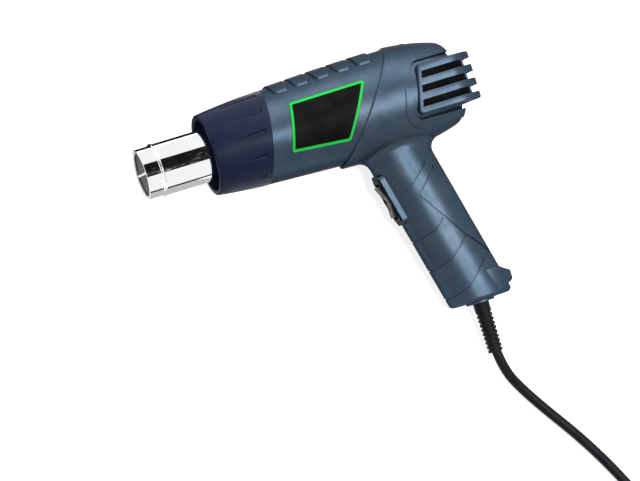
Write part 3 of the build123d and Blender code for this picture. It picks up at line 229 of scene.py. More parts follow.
class HeatGunStage(bpy.types.PropertyGroup):
    """Light and floor."""

    key_power: light_setting("Key", "Power of the key light", 13.0, "POWER")
    fill_power: light_setting("Fill", "Power of the fill light", 8.5, "POWER")
    front_power: light_setting("Front", "Power of the small front light", 4.2, "POWER")
    sky: light_setting("Sky", "Strength of the light from all round", 0.16)
    floor_glow: light_setting("Floor glow", "Strength added to the floor as it is seen", 0.80)
    floor: colour_setting("Floor", "Colour of the floor under the lights", (0.80, 0.80, 0.80))


def sizes():
    return bpy.context.scene.heat_gun_sizes


def colours():
    return bpy.context.scene.heat_gun_colours


# ---------------- Helpers for placing and editing
def laid(x, y, z):
    """A point of the gun's frame, given in mm, where it is once the gun is laid down."""
    return LIE_TURN @ Vector((x * MM, y * MM, z * MM))


def deselect_all():
    if bpy.context.object and bpy.context.object.mode != "OBJECT":
        bpy.ops.object.mode_set(mode="OBJECT")
    bpy.ops.object.select_all(action="DESELECT")


def take(piece):
    """Leave edit mode, select only this piece and make it active."""
    deselect_all()
    piece.select_set(True)
    bpy.context.view_layer.objects.active = piece
    return piece


def added(name):
    """Name the object that an operator has just added."""
    piece = bpy.context.object
    piece.name = name
    piece.data.name = name
    return piece


def pick_faces(piece, wanted):
    """Select in edit mode the faces for which wanted(centre, normal) is true."""
    bpy.ops.object.mode_set(mode="EDIT")
    bpy.ops.mesh.select_mode(type="FACE")
    shape = bmesh.from_edit_mesh(piece.data)
    for face in shape.faces:
        face.select_set(wanted(face.calc_center_median(), face.normal))
    bmesh.update_edit_mesh(piece.data)


def pick_edges(piece, wanted):
    """Select in edit mode the edges for which wanted(middle, direction) is true."""
    bpy.ops.object.mode_set(mode="EDIT")
    bpy.ops.mesh.select_mode(type="EDGE")
    shape = bmesh.from_edit_mesh(piece.data)
    for edge in shape.edges:
        a, b = (vertex.co for vertex in edge.verts)
        edge.select_set(wanted((a + b) / 2, (b - a).normalized()))
    bmesh.update_edit_mesh(piece.data)


def settle(piece, matrix=None):
    """Move a finished piece by matrix and keep its place in its mesh."""
    take(piece)
    if matrix is not None:
        piece.matrix_world = matrix @ piece.matrix_world
    bpy.ops.object.transform_apply(location=True, rotation=True, scale=True)
    return piece


def smooth(piece):
    take(piece)
    bpy.ops.object.shade_smooth_by_angle(angle=radians(35.0))


def cut_across(*levels):
    """Cut the mesh in edit mode across Z at each of these heights, in metres."""
    for level in levels:
        bpy.ops.mesh.select_all(action="SELECT")
        bpy.ops.mesh.bisect(plane_co=(0, 0, level), plane_no=(0, 0, 1))


def sink(depth):
    """Push the chosen faces in by a depth in mm, with walls round them."""
    bpy.ops.mesh.extrude_region_shrink_fatten(
        TRANSFORM_OT_shrink_fatten={"value": -depth * MM})


def groove_levels(count, first, pitch, width, base=0.0):
    """The low and the high side of each groove, in metres."""
    lows = [(base + first + pitch * index) * MM for index in range(count)]
    return [(low, low + width * MM) for low in lows]


def apply_modifier(piece, kind, **settings):
    """Add a modifier with these settings and apply it."""
    take(piece)
    modifier = piece.modifiers.new(kind.title(), kind)
    for name, value in settings.items():
        setattr(modifier, name, value)
    bpy.ops.object.modifier_apply(modifier=modifier.name)


def join(name, pieces):
    """Join pieces into one object."""
    take(pieces[0])
    for piece in pieces[1:]:
        piece.select_set(True)
    bpy.ops.object.join()
    return added(name)


def dress(piece, material, body, slot, *replaced):
    """Give a new piece its material, its body and the solids that it stands for."""
    piece.data.materials.clear()
    piece.data.materials.append(material)
    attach(piece, body)
    if replaced:
        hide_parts(*replaced)


# ---------------- Shader groups
FLOAT, VECTOR, COLOUR = "NodeSocketFloat", "NodeSocketVector", "NodeSocketColor"
PLACE = ("Vector", VECTOR, None)


def node_group(name, inputs, outputs):
    """A shader node group with these sockets, and its input and output nodes."""
    tree = bpy.data.node_groups.new(name, "ShaderNodeTree")
    for label, kind, value in inputs:
        socket = tree.interface.new_socket(name=label, in_out="INPUT", socket_type=kind)
        if value is not None:
            socket.default_value = value
    for label, kind in outputs:
        tree.interface.new_socket(name=label, in_out="OUTPUT", socket_type=kind)
    return tree, tree.nodes.new("NodeGroupInput"), tree.nodes.new("NodeGroupOutput")


def connect(tree, source, target):
    tree.links.new(source, target)


def give(tree, target, value):
    """Link a socket to the target, or set a plain value there."""
    if isinstance(value, bpy.types.NodeSocket):
        connect(tree, value, target)
    else:
        target.default_value = value


def add_math(tree, operation, first, second=None, clamp=False):
    """A Math node; each operand is a socket or a number."""
    node = tree.nodes.new("ShaderNodeMath")
    node.operation = operation
    node.use_clamp = clamp
    give(tree, node.inputs[0], first)
    if second is not None:
        give(tree, node.inputs[1], second)
    return node.outputs[0]


def times(tree, first, second, clamp=False):
    return add_math(tree, "MULTIPLY", first, second, clamp)


def add_vector_math(tree, operation, first, second):
    """A Vector Math node; the second operand is a socket or a vector."""
    node = tree.nodes.new("ShaderNodeVectorMath")
    node.operation = operation
    connect(tree, first, node.inputs[0])
    give(tree, node.inputs[1], second)
    return node.outputs["Value" if operation == "DOT_PRODUCT" else "Vector"]


def add_noise(tree, vector, scale, detail=3.0, roughness=0.55):
    node = tree.nodes.new("ShaderNodeTexNoise")
    node.inputs["Detail"].default_value = detail
    node.inputs["Roughness"].default_value = roughness
    connect(tree, vector, node.inputs["Vector"])
    give(tree, node.inputs["Scale"], scale)
    return node.outputs["Fac"]


def add_range(tree, value, low, high, to_low=0.0, to_high=1.0):
    node = tree.nodes.new("ShaderNodeMapRange")
    connect(tree, value, node.inputs["Value"])
    for label, number in (("From Min", low), ("From Max", high),
                          ("To Min", to_low), ("To Max", to_high)):
        give(tree, node.inputs[label], number)
    return node.outputs["Result"]


def add_mix(tree, factor, first, second):
    """A colour Mix node; each colour is a socket or a tuple of three."""
    node = tree.nodes.new("ShaderNodeMix")
    node.data_type = "RGBA"
    connect(tree, factor, node.inputs[0])
    for index, colour in ((6, first), (7, second)):
        give(tree, node.inputs[index],
             colour if isinstance(colour, bpy.types.NodeSocket) else (*colour, 1.0))
    return node.outputs[2]


def make_moulded_surface():
    """Slow cloudiness, fine speckle, smears and the grain of a tool's surface."""
    tree, ins, outs = node_group("moulded_surface", [
        PLACE, ("Colour", COLOUR, (0.5, 0.5, 0.5, 1.0)), ("Cloud", FLOAT, 0.10),
        ("Speckle", FLOAT, 0.05), ("Grain per metre", FLOAT, 2500.0), ("Gloss low", FLOAT, 0.36),
        ("Gloss high", FLOAT, 0.5)],
        [("Colour", COLOUR), ("Roughness", FLOAT), ("Height", FLOAT)])
    vector = ins.outputs["Vector"]
    cloud = add_noise(tree, vector, CLOUDS_PER_METRE, 4.0)
    speckle = add_noise(tree, vector, SPECKS_PER_METRE, 1.0)
    smear = add_noise(tree, vector, SMEARS_PER_METRE, 5.0, 0.65)
    cloud_share = times(tree, add_math(tree, "SUBTRACT", cloud, 0.5), ins.outputs["Cloud"])
    speckle_share = times(tree, add_math(tree, "SUBTRACT", speckle, 0.5), ins.outputs["Speckle"])
    tone = add_math(tree, "ADD", add_math(tree, "ADD", cloud_share, speckle_share), 1.0)
    scaled = tree.nodes.new("ShaderNodeVectorMath")
    scaled.operation = "SCALE"
    connect(tree, ins.outputs["Colour"], scaled.inputs[0])
    connect(tree, tone, scaled.inputs["Scale"])
    connect(tree, scaled.outputs[0], outs.inputs["Colour"])
    rough = add_range(tree, smear, 0.3, 0.7, ins.outputs["Gloss low"], ins.outputs["Gloss high"])
    connect(tree, rough, outs.inputs["Roughness"])
    grain = add_noise(tree, vector, ins.outputs["Grain per metre"], 2.0)
    connect(tree, grain, outs.inputs["Height"])
    return tree


def make_edge_wear():
    """Where an edge is rubbed: the rounded normal leaves the true one there."""
    tree, ins, outs = node_group("edge_wear", [
        PLACE, ("Radius", FLOAT, 0.0006), ("Patchiness", FLOAT, 0.5)],
        [("Mask", FLOAT), ("Normal", VECTOR)])
    bevel = tree.nodes.new("ShaderNodeBevel")
    bevel.samples = 4
    connect(tree, ins.outputs["Radius"], bevel.inputs["Radius"])
    geometry = tree.nodes.new("ShaderNodeNewGeometry")
    meet = add_vector_math(tree, "DOT_PRODUCT", bevel.outputs["Normal"], geometry.outputs["Normal"])
    bent = add_range(tree, meet, 0.995, 0.80)
    patches = add_noise(tree, ins.outputs["Vector"], WORN_PATCHES_PER_METRE, 4.0)
    patchy = times(tree, bent, add_range(tree, patches, 0.40, 0.62))
    even = times(tree, bent, add_math(tree, "SUBTRACT", 1.0, ins.outputs["Patchiness"]))
    worn = add_math(tree, "ADD", times(tree, patchy, ins.outputs["Patchiness"]), even, clamp=True)
    connect(tree, worn, outs.inputs["Mask"])
    connect(tree, bevel.outputs["Normal"], outs.inputs["Normal"])
    return tree


def make_dust():
    """Light dust that lies on what faces up, in soft patches."""
    tree, ins, outs = node_group("dust", [PLACE, ("Amount", FLOAT, 0.08)], [("Mask", FLOAT)])
    vector = ins.outputs["Vector"]
    geometry = tree.nodes.new("ShaderNodeNewGeometry")
    parts = tree.nodes.new("ShaderNodeSeparateXYZ")
    connect(tree, geometry.outputs["Normal"], parts.inputs[0])
    facing = add_range(tree, parts.outputs["Z"], 0.2, 1.0)
    patches = add_noise(tree, vector, DUST_PATCHES_PER_METRE, 6.0, 0.7)
    specks = add_noise(tree, vector, DUST_SPECKS_PER_METRE, 1.0)
    spread = add_math(tree, "ADD", add_range(tree, patches, 0.42, 0.72),
                      times(tree, add_range(tree, specks, 0.60, 0.74), 0.6))
    lying = times(tree, facing, spread)
    connect(tree, times(tree, lying, ins.outputs["Amount"], clamp=True), outs.inputs["Mask"])
    return tree


def make_turning_marks():
    """Fine rings round the X axis, as turning or drawing leaves, and sparse scratches along it."""
    tree, ins, outs = node_group("turning_marks", [PLACE, ("Rings per metre", FLOAT, 2400.0)],
                                 [("Height", FLOAT), ("Scratches", FLOAT)])
    vector = ins.outputs["Vector"]
    squeezed = add_vector_math(tree, "MULTIPLY", vector, (1.0, RING_SQUEEZE, RING_SQUEEZE))
    connect(tree, add_noise(tree, squeezed, ins.outputs["Rings per metre"], 2.0),
            outs.inputs["Height"])
    stretched = add_vector_math(tree, "MULTIPLY", vector, (SCRATCH_STRETCH, 1.0, 1.0))
    scratches = add_noise(tree, stretched, SCRATCHES_PER_METRE, 1.0)
    connect(tree, add_range(tree, scratches, 0.66, 0.72), outs.inputs["Scratches"])
    return tree


def make_plate_border():
    """One inside a line of a given width along the badge's four edges, and zero within it."""
    tree, ins, outs = node_group("plate_border", [PLACE, ("Width", FLOAT, BADGE_EDGE * MM)],
                                 [("Mask", FLOAT)])
    nearest = None
    middle = sum((Vector(corner) for corner in BADGE_CORNERS), Vector((0, 0))) / len(BADGE_CORNERS)
    for first, second in zip(BADGE_CORNERS, BADGE_CORNERS[1:] + BADGE_CORNERS[:1]):
        along = (Vector(second) - Vector(first)).normalized()
        inward = Vector((-along.y, along.x))
        if inward.dot(middle - Vector(first)) < 0:
            inward = -inward
        reach = add_vector_math(tree, "DOT_PRODUCT", ins.outputs["Vector"], (*inward, 0.0))
        distance = add_math(tree, "SUBTRACT", reach, inward.dot(Vector(first)) * MM)
        nearest = distance if nearest is None else add_math(tree, "MINIMUM", nearest, distance)
    inner = times(tree, ins.outputs["Width"], 1.05)
    connect(tree, add_range(tree, nearest, inner, ins.outputs["Width"]), outs.inputs["Mask"])
    return tree


def make_seam_line():
    """A narrow line where the two shells meet, at the gun's middle plane."""
    tree, ins, outs = node_group("seam_line", [PLACE, ("Half width", FLOAT, 0.00018)],
                                 [("Mask", FLOAT)])
    parts = tree.nodes.new("ShaderNodeSeparateXYZ")
    connect(tree, ins.outputs["Vector"], parts.inputs[0])
    away = add_math(tree, "ABSOLUTE", parts.outputs["Z"])
    connect(tree, add_range(tree, away, ins.outputs["Half width"], 0.0), outs.inputs["Mask"])
    return tree


GROUP_MAKERS = {
    "moulded_surface": make_moulded_surface, "edge_wear": make_edge_wear, "dust": make_dust,
    "turning_marks": make_turning_marks, "plate_border": make_plate_border,
    "seam_line": make_seam_line,
}
GROUPS = {}


def group(name):
    """A shared group, made when it is first asked for."""
    if name not in GROUPS:
        GROUPS[name] = GROUP_MAKERS[name]()
    return GROUPS[name]


# ---------------- Materials
class Finish:
    """A material being made: its tree, its shader and its object coordinates, turned to the gun."""

    def __init__(self, name, **uniform):
        self.material = bpy.data.materials.new(name)
        self.material.use_nodes = True
        self.tree = self.material.node_tree
        self.shader = self.tree.nodes["Principled BSDF"]
        for label, value in uniform.items():
            self.shader.inputs[label.replace("_", " ")].default_value = value
        coordinates = self.tree.nodes.new("ShaderNodeTexCoord")
        turned = self.tree.nodes.new("ShaderNodeMapping")
        turned.inputs["Rotation"].default_value = (-LIE_ANGLE, 0.0, 0.0)
        connect(self.tree, coordinates.outputs["Object"], turned.inputs["Vector"])
        self.vector = turned.outputs["Vector"]

    def use(self, name, **values):
        """Place a shared group with its own values, and hand over its outputs."""
        node = self.tree.nodes.new("ShaderNodeGroup")
        node.node_tree = group(name)
        connect(self.tree, self.vector, node.inputs["Vector"])
        for label, value in values.items():
            node.inputs[label.replace("_", " ")].default_value = value
        return node.outputs

    def surface(self, colour, cloud, speckle, grain, gloss):
        """The moulded surface's colour, roughness and height, in this colour."""
        return self.use("moulded_surface", Colour=(*colour, 1.0), Cloud=cloud, Speckle=speckle,
                        Grain_per_metre=grain, Gloss_low=gloss[0], Gloss_high=gloss[1])[:3]

    def bump(self, height, distance, strength=1.0, normal=None):
        node = self.tree.nodes.new("ShaderNodeBump")
        node.inputs["Distance"].default_value = distance
        node.inputs["Strength"].default_value = strength
        connect(self.tree, height, node.inputs["Height"])
        if normal is not None:
            connect(self.tree, normal, node.inputs["Normal"])
        return node.outputs["Normal"]

    def made(self, shade, roughness, normal):
        """Feed the shader, and hand over the material."""
        for label, socket in (("Base Color", shade), ("Roughness", roughness), ("Normal", normal)):
            connect(self.tree, socket, self.shader.inputs[label])
        return self.material


def moulded_plastic(name, colour, gloss=(0.36, 0.50), grain=(2500.0, 0.00001), wear=0.5, dust=0.06,
                    cloud=0.10, speckle=0.06, seam=False, **uniform):
    """Moulded plastic or rubber, with grain, rubbed edges and a little dust."""
    finish = Finish(name, **uniform)
    tree = finish.tree
    shade, rough, height = finish.surface(colour, cloud, speckle, grain[0], gloss)
    worn = finish.use("edge_wear", Radius=0.0005)
    rubbed = tuple(min(1.0, channel * WORN_GAIN + WORN_LIFT) for channel in colour)
    shade = add_mix(tree, times(tree, worn["Mask"], wear), shade, rubbed)
    dusty = finish.use("dust", Amount=dust)["Mask"]
    shade = add_mix(tree, dusty, shade, DUST_COLOUR)
    normal = finish.bump(height, grain[1], 1.0, worn["Normal"])
    if seam:
        line = finish.use("seam_line")["Mask"]
        shade = add_mix(tree, times(tree, line, SEAM_SHARE), shade,
                        tuple(channel * SEAM_SHADE for channel in colour))
        normal = finish.bump(add_math(tree, "SUBTRACT", 1.0, line), SEAM_DEPTH, 0.6, normal)
    rough = add_math(tree, "ADD", rough, times(tree, dusty, DUST_ROUGHNESS), clamp=True)
    return finish.made(shade, rough, normal)


def machined_metal(name, colour, gloss=(0.10, 0.20), rings=(2400.0, 0.000002), tint=None, dull=0.25,
                   metallic=1.0, **uniform):
    """Drawn or turned metal, with fine rings, sparse scratches and dull patches."""
    finish = Finish(name, Metallic=metallic, **uniform)
    tree = finish.tree
    marks = finish.use("turning_marks", Rings_per_metre=rings[0])
    scratches = marks["Scratches"]
    shade, rough, _ = finish.surface(colour, 0.08, 0.02, 900.0, gloss)
    shade = add_mix(tree, times(tree, scratches, dull), shade,
                    tuple(channel * SCRATCH_SHADE for channel in colour))
    if tint is not None:
        reach, heated = tint
        parts = tree.nodes.new("ShaderNodeSeparateXYZ")
        connect(tree, finish.vector, parts.inputs[0])
        shade = add_mix(tree, add_range(tree, parts.outputs["X"], *reach), shade, heated)
    rough = add_math(tree, "ADD", rough, times(tree, scratches, SCRATCH_ROUGHNESS), clamp=True)
    return finish.made(shade, rough, finish.bump(marks["Height"], rings[1]))


def badge_plate(name, face):
    """Black plate with a bright line along its edge."""
    finish = Finish(name, Specular_IOR_Level=0.015)
    border = finish.use("plate_border")["Mask"]
    gloss = (0.30, 0.42)
    shade, rough, height = finish.surface(face, 0.2, 0.2, 1800.0, gloss)
    line, _, _ = finish.surface(tuple(colours().badge_edge), 0.12, 0.05, 1800.0, gloss)
    worn = finish.use("edge_wear", Radius=0.0003)
    dusty = finish.use("dust", Amount=0.02)["Mask"]
    shade = add_mix(finish.tree, dusty, add_mix(finish.tree, border, shade, line),
                    BADGE_DUST_COLOUR)
    normal = finish.bump(height, 0.000004, 1.0, worn["Normal"])
    return finish.made(shade, rough, finish.bump(border, 0.00006, 1.0, normal))


def wound_strands(name, colour, per_metre, depth, **uniform):
    """Strands laid side by side, such as a winding or a strap's weave."""
    finish = Finish(name, **uniform)
    wave = finish.tree.nodes.new("ShaderNodeTexWave")
    wave.bands_direction = "DIAGONAL"
    wave.inputs["Scale"].default_value = per_metre
    wave.inputs["Distortion"].default_value = 1.5
    wave.inputs["Detail"].default_value = 2.0
    connect(finish.tree, finish.vector, wave.inputs["Vector"])
    strands = wave.outputs["Fac"]
    shade, rough, _ = finish.surface(colour, 0.3, 0.15, 1500.0, (0.28, 0.5))
    gaps = tuple(channel * STRAND_SHADE for channel in colour)
    return finish.made(add_mix(finish.tree, strands, gaps, shade), rough,
                       finish.bump(strands, depth))


# Each finish's maker, its colour or the setting that holds it, the solids that wear it and the rest
FINISHES = {
    "housing_plastic": (moulded_plastic, "housing", ["left_shell", "right_shell", "intake_grille"],
        dict(gloss=(0.31, 0.39), seam=True, Metallic=0.72, Specular_IOR_Level=0.1,
        Specular_Tint=(0.05, 0.08, 0.12, 1.0))),
    "collar_plastic": (moulded_plastic, "collar", ["front_collar"],
        dict(grain=(1900.0, 0.000012), dust=0.015, wear=0.15, Specular_IOR_Level=0.10)),
    "outlet_steel": (machined_metal, "steel", ["nozzle_tube"],
        dict(gloss=(0.02, 0.05), rings=(1500.0, 0.0000003), dull=0.10,
        tint=((0.050, 0.090), (0.55, 0.42, 0.26)))),
    "mesh_steel": (machined_metal, (0.27, 0.28, 0.30), ["outlet_grille"],
        dict(gloss=(0.28, 0.45), dull=0.4, metallic=0.35, Specular_IOR_Level=0.2)),
    "bar_steel": (machined_metal, (0.86, 0.86, 0.87), ["grille_bar"],
        dict(gloss=(0.2, 0.3), dull=0.1, metallic=0.3)),
    "badge_plate": (badge_plate, "badge", ["badge_left", "badge_right"], {}),
    "zinc_steel": (machined_metal, (0.58, 0.59, 0.60),
        ["housing_screws", "clamp_screws", "motor_can", "motor_shaft"],
        dict(gloss=(0.25, 0.38))),
    "mica_sheet": (moulded_plastic, (0.46, 0.37, 0.22),
        ["mica_sleeve", "mica_board_upright", "mica_board_level"],
        dict(gloss=(0.30, 0.6), cloud=0.9, speckle=0.9, wear=0.2, grain=(700.0, 0.00004))),
    "heating_wire": (machined_metal, (0.30, 0.26, 0.23), ["heater_winding"],
        dict(gloss=(0.4, 0.6))),
    "steatite": (moulded_plastic, (0.72, 0.68, 0.58), ["heater_end_disc", "thermal_cutout"],
        dict(gloss=(0.35, 0.6), cloud=0.25, grain=(1200.0, 0.00002), wear=0.1)),
    "contact_brass": (machined_metal, (0.72, 0.52, 0.20),
        ["heater_terminals", "switch_terminals", "plug_blade_line", "plug_blade_neutral"],
        dict(gloss=(0.2, 0.34))),
    "ferrite": (moulded_plastic, (0.02, 0.02, 0.022), ["motor_magnets"],
        dict(gloss=(0.5, 0.7), grain=(900.0, 0.00004), wear=0.3)),
    "laminations": (wound_strands, (0.20, 0.20, 0.21), ["armature_core"],
        dict(per_metre=900.0, depth=0.00004, Metallic=0.9)),
    "copper_winding": (wound_strands, (0.55, 0.17, 0.05), ["armature_windings", "commutator"],
        dict(per_metre=420.0, depth=0.00015, Metallic=0.8)),
    "bearing_bronze": (machined_metal, (0.42, 0.28, 0.12), ["front_bearing", "rear_bearing"],
        dict(gloss=(0.35, 0.5))),
    "black_polyamide": (moulded_plastic, (0.006, 0.006, 0.008),
        ["motor_mount", "motor_end_cap", "switch_bezel", "switch_body", "cord_clamp"],
        dict(gloss=(0.40, 0.56), grain=(1500.0, 0.00002), wear=0.25, dust=0.02,
        Specular_IOR_Level=0.04)),
    "fan_polyamide": (moulded_plastic, (0.035, 0.037, 0.040), ["fan_impeller"],
        dict(gloss=(0.38, 0.55), grain=(1500.0, 0.00001), dust=0.25)),
    "circuit_board": (moulded_plastic, (0.012, 0.09, 0.03), ["rectifier_board"],
        dict(gloss=(0.2, 0.34), cloud=0.3, speckle=0.3)),
    "capacitor_case": (moulded_plastic, (0.55, 0.38, 0.03), ["suppressor_capacitor"],
        dict(gloss=(0.24, 0.36))),
    # A near-black matt sheet behind the louvres: painted shade for the dark inside of the intake
    "filter_foam": (moulded_plastic, (0.004, 0.004, 0.005), [],
        dict(gloss=(0.85, 0.95), cloud=0.4, speckle=0.9, grain=(1100.0, 0.0003),
        wear=0.0, dust=0.03, Specular_IOR_Level=0.05)),
    "rocker_gloss": (moulded_plastic, (0.0065, 0.007, 0.009), ["switch_rocker"],
        dict(gloss=(0.16, 0.26), grain=(2500.0, 0.000003), wear=0.15, Specular_IOR_Level=0.04)),
    "rocker_marks": (moulded_plastic, "marks", [],
        dict(gloss=(0.35, 0.5), wear=0.0, dust=0.0, cloud=0.15)),
    "relief_rubber": (moulded_plastic, "cord", ["strain_relief"],
        dict(gloss=(0.42, 0.58), grain=(2200.0, 0.00001), wear=0.2, dust=0.02,
        Specular_IOR_Level=0.10)),
    "cord_sheath": (moulded_plastic, "cord", ["cord_inner_end", "power_cord", "cord_coil"],
        dict(gloss=(0.34, 0.50), grain=(1700.0, 0.000014), wear=0.1, dust=0.02,
        Specular_IOR_Level=0.10)),
    "tie_strap": (wound_strands, (0.012, 0.012, 0.014), ["coil_tie"],
        dict(per_metre=500.0, depth=0.0001)),
    "plug_moulding": (moulded_plastic, "cord", ["plug_body"],
        dict(gloss=(0.36, 0.52), grain=(2200.0, 0.00001), wear=0.3)),
    "lead_red": (moulded_plastic, (0.42, 0.012, 0.010), ["lead_live"], dict(gloss=(0.3, 0.44))),
    "lead_blue": (moulded_plastic, (0.012, 0.05, 0.30), ["lead_neutral"], dict(gloss=(0.3, 0.44))),
    "lead_white": (moulded_plastic, (0.68, 0.67, 0.62), ["lead_high"], dict(gloss=(0.3, 0.44))),
    "lead_yellow": (moulded_plastic, (0.62, 0.40, 0.02), ["lead_low"], dict(gloss=(0.3, 0.44))),
}
MATERIALS = {}


def material(name):
    """A finish of the gun, made when it is first asked for."""
    if name not in MATERIALS:
        maker, colour, _, settings = FINISHES[name]
        if isinstance(colour, str):
            colour = tuple(getattr(colours(), colour))
        MATERIALS[name] = maker(name, colour, **settings)
    return MATERIALS[name]


# ---------------- Stage
def camera_axes():
    """The camera's right, up and backward directions."""
    level = Vector((cos(CAMERA_YAW), 0.0, sin(CAMERA_YAW)))
    upright = Vector((0.0, 1.0, 0.0))
    back = Vector((-sin(CAMERA_YAW), 0.0, cos(CAMERA_YAW)))
    right = level * cos(CAMERA_ROLL) - upright * sin(CAMERA_ROLL)
    up = level * sin(CAMERA_ROLL) + upright * cos(CAMERA_ROLL)
    turn = LIE_TURN.to_3x3()
    return turn @ right, turn @ up, turn @ back


def facing_matrix(place, right, up, back):
    matrix = Matrix((right, up, back)).transposed().to_4x4()
    matrix.translation = place
    return matrix


def add_area_light(name, offset, size, power):
    """A soft light at an offset along the camera's axes, turned to the lamps' aim."""
    target = laid(*LAMP_AIM)
    right, up, back = camera_axes()
    place = target + right * offset[0] + up * offset[1] + back * offset[2]
    lamp = bpy.data.lights.new(name, "AREA")
    lamp.shape = "RECTANGLE"
    lamp.size, lamp.size_y = size
    lamp.energy = power
    holder = bpy.data.objects.new(name, lamp)
    bpy.context.scene.collection.objects.link(holder)
    holder.matrix_world = Matrix.Translation(place) @ (
        (place - target).to_track_quat("Z", "Y").to_matrix().to_4x4())


def add_paper(piece, name, base):
    """Give a piece of the stage matt paper that can glow, and hand over its shader."""
    paper = bpy.data.materials.new(name)
    paper.use_nodes = True
    shader = paper.node_tree.nodes["Principled BSDF"]
    shader.inputs["Base Color"].default_value = (*base, 1.0)
    shader.inputs["Specular IOR Level"].default_value = 0.0
    shader.inputs["Emission Color"].default_value = (1.0, 1.0, 1.0, 1.0)
    piece.data.materials.append(paper)
    return shader


def only_mirrored(card, strength):
    """Leave a card of this brightness to the reflections alone."""
    card.visible_camera = False
    card.visible_diffuse = False
    card.visible_shadow = False
    card.visible_transmission = False
    shader = add_paper(card, card.name, (0.0, 0.0, 0.0))
    shader.inputs["Emission Strength"].default_value = strength


def add_bent_card(name, first, last, strength):
    """A card bent round the tube's axis, from the first to the last angle above the gun's left.

    Only reflections show it, so that it draws one band along the polished tube.
    """
    deselect_all()
    bpy.ops.mesh.primitive_cylinder_add(
        vertices=CARD_STEPS, radius=CARD_RADIUS * MM, depth=(CARD_REACH[1] - CARD_REACH[0]) * MM,
        end_fill_type="NOTHING", location=(sum(CARD_REACH) / 2 * MM, 0.0, 0.0),
        rotation=(0.0, pi / 2, 0.0))
    card = settle(added(name))
    pick_faces(card, lambda place, normal: not first < degrees(atan2(place.y, place.z)) < last)
    bpy.ops.mesh.delete(type="FACE")
    settle(card, LIE_TURN)
    only_mirrored(card, strength)


def add_floor_card(name, low, high, strength):
    """A thin flat card between two corners, that gives one edge of the polished tube its tone."""
    deselect_all()
    bpy.ops.mesh.primitive_cube_add(size=1.0, location=(Vector(low) + Vector(high)) / 2,
                                    scale=Vector(high) - Vector(low))
    only_mirrored(settle(added(name)), strength)


def background_rays(tree):
    """One for rays from the camera, mirrors and glass."""
    path = tree.nodes.new("ShaderNodeLightPath")
    seen = add_math(tree, "ADD", path.outputs["Is Camera Ray"], path.outputs["Is Glossy Ray"])
    return add_math(tree, "ADD", seen, path.outputs["Is Transmission Ray"], clamp=True)


class HEATGUN_OT_stage(bpy.types.Operator):
    """Set the camera, the white floor, the lamps and the cards that the steel tube mirrors"""

    bl_idname = "heatgun.stage"
    bl_label = "Stage"

    def execute(self, context):
        stage = context.scene.heat_gun_stage
        context.scene.view_settings.view_transform = "Standard"
        right, up, back = camera_axes()
        aim = laid(*CAMERA_AIM)
        lens = bpy.data.cameras.new("camera")
        lens.lens = CAMERA_LENS
        lens.clip_end = 20.0
        camera = bpy.data.objects.new("camera", lens)
        context.scene.collection.objects.link(camera)
        camera.matrix_world = facing_matrix(aim + back * CAMERA_DISTANCE, right, up, back)
        context.scene.camera = camera

        world = bpy.data.worlds.new("studio")
        world.use_nodes = True
        context.scene.world = world
        tree = world.node_tree
        sky = tree.nodes["Background"]
        sky.inputs["Color"].default_value = (1.0, 1.0, 1.0, 1.0)
        connect(tree, add_range(tree, background_rays(tree), 0.0, 1.0, stage.sky, 1.0),
                sky.inputs["Strength"])

        deselect_all()
        bpy.ops.mesh.primitive_plane_add(size=FLOOR_SIZE,
                                         location=(*FLOOR_MIDDLE, FLOOR_Z - FLOOR_DROP))
        shader = add_paper(settle(added("floor")), "floor_paint", stage.floor)
        shader.inputs["Roughness"].default_value = 0.9
        tree = shader.id_data
        connect(tree, times(tree, background_rays(tree), stage.floor_glow),
                shader.inputs["Emission Strength"])

        for name, offset, size in LAMPS:
            add_area_light(name, offset, size, getattr(stage, f"{name}_power"))
        for name, first, last, strength in BENT_CARDS:
            add_bent_card(name, first, last, strength)
        for name, low, high, strength in FLOOR_CARDS:
            add_floor_card(name, low, high, strength)
        return {"FINISHED"}


# ---------------- Cord
def coil_entry():
    """Where the cord enters its stored coil, and its heading there."""
    diameter = sizes().cord_diameter
    height = FLOOR_Z + (TIE_THICKNESS + TIE_GAP / 2) * MM + diameter / 2
    last, end = (Vector((x * MM, y * MM, height)) for x, y in CORD_ROUTE[-2:])
    heading = (end - last).normalized()
    return end + heading * diameter, heading


def coil_points():
    """Control points of the coil: in on the lower layer, up, then out on the upper one."""
    turns = sizes().coil_turns
    entry, heading = coil_entry()
    outward = Vector((0, 0, 1)).cross(heading)
    outer = sizes().coil_diameter / 2 + COIL_PITCH * MM * turns / 4
    centre = entry - outward * outer
    start = atan2(outward.y, outward.x)
    whole = 2 * pi * turns
    step = 2 * pi / COIL_STEPS
    points = []
    for index in range(turns * COIL_STEPS):
        turned = (index + 0.5) * step
        inward = min(turned, whole - turned)
        radius = (outer - COIL_PITCH * MM * inward / (2 * pi)) / cos(step / 2)
        climbed = min(max(turned - (whole - pi) / 2, 0.0), pi)
        angle = start - turned
        points.append(centre + Vector((cos(angle), sin(angle), 0)) * radius
                      + Vector((0, 0, COIL_PITCH * MM * (1 - cos(climbed)) / 2)))
    return points


def plug_matrix():
    """Turns the plug's frame, along Z from the cord's end, to where the plug lies."""
    entry, heading = coil_entry()
    across = heading.cross(Vector((0, 0, -1)))
    matrix = Matrix((across, heading.cross(across), heading)).transposed().to_4x4()
    matrix.translation = entry + Vector((0, 0, COIL_PITCH * MM)) + heading * sizes().cord_diameter
    return matrix


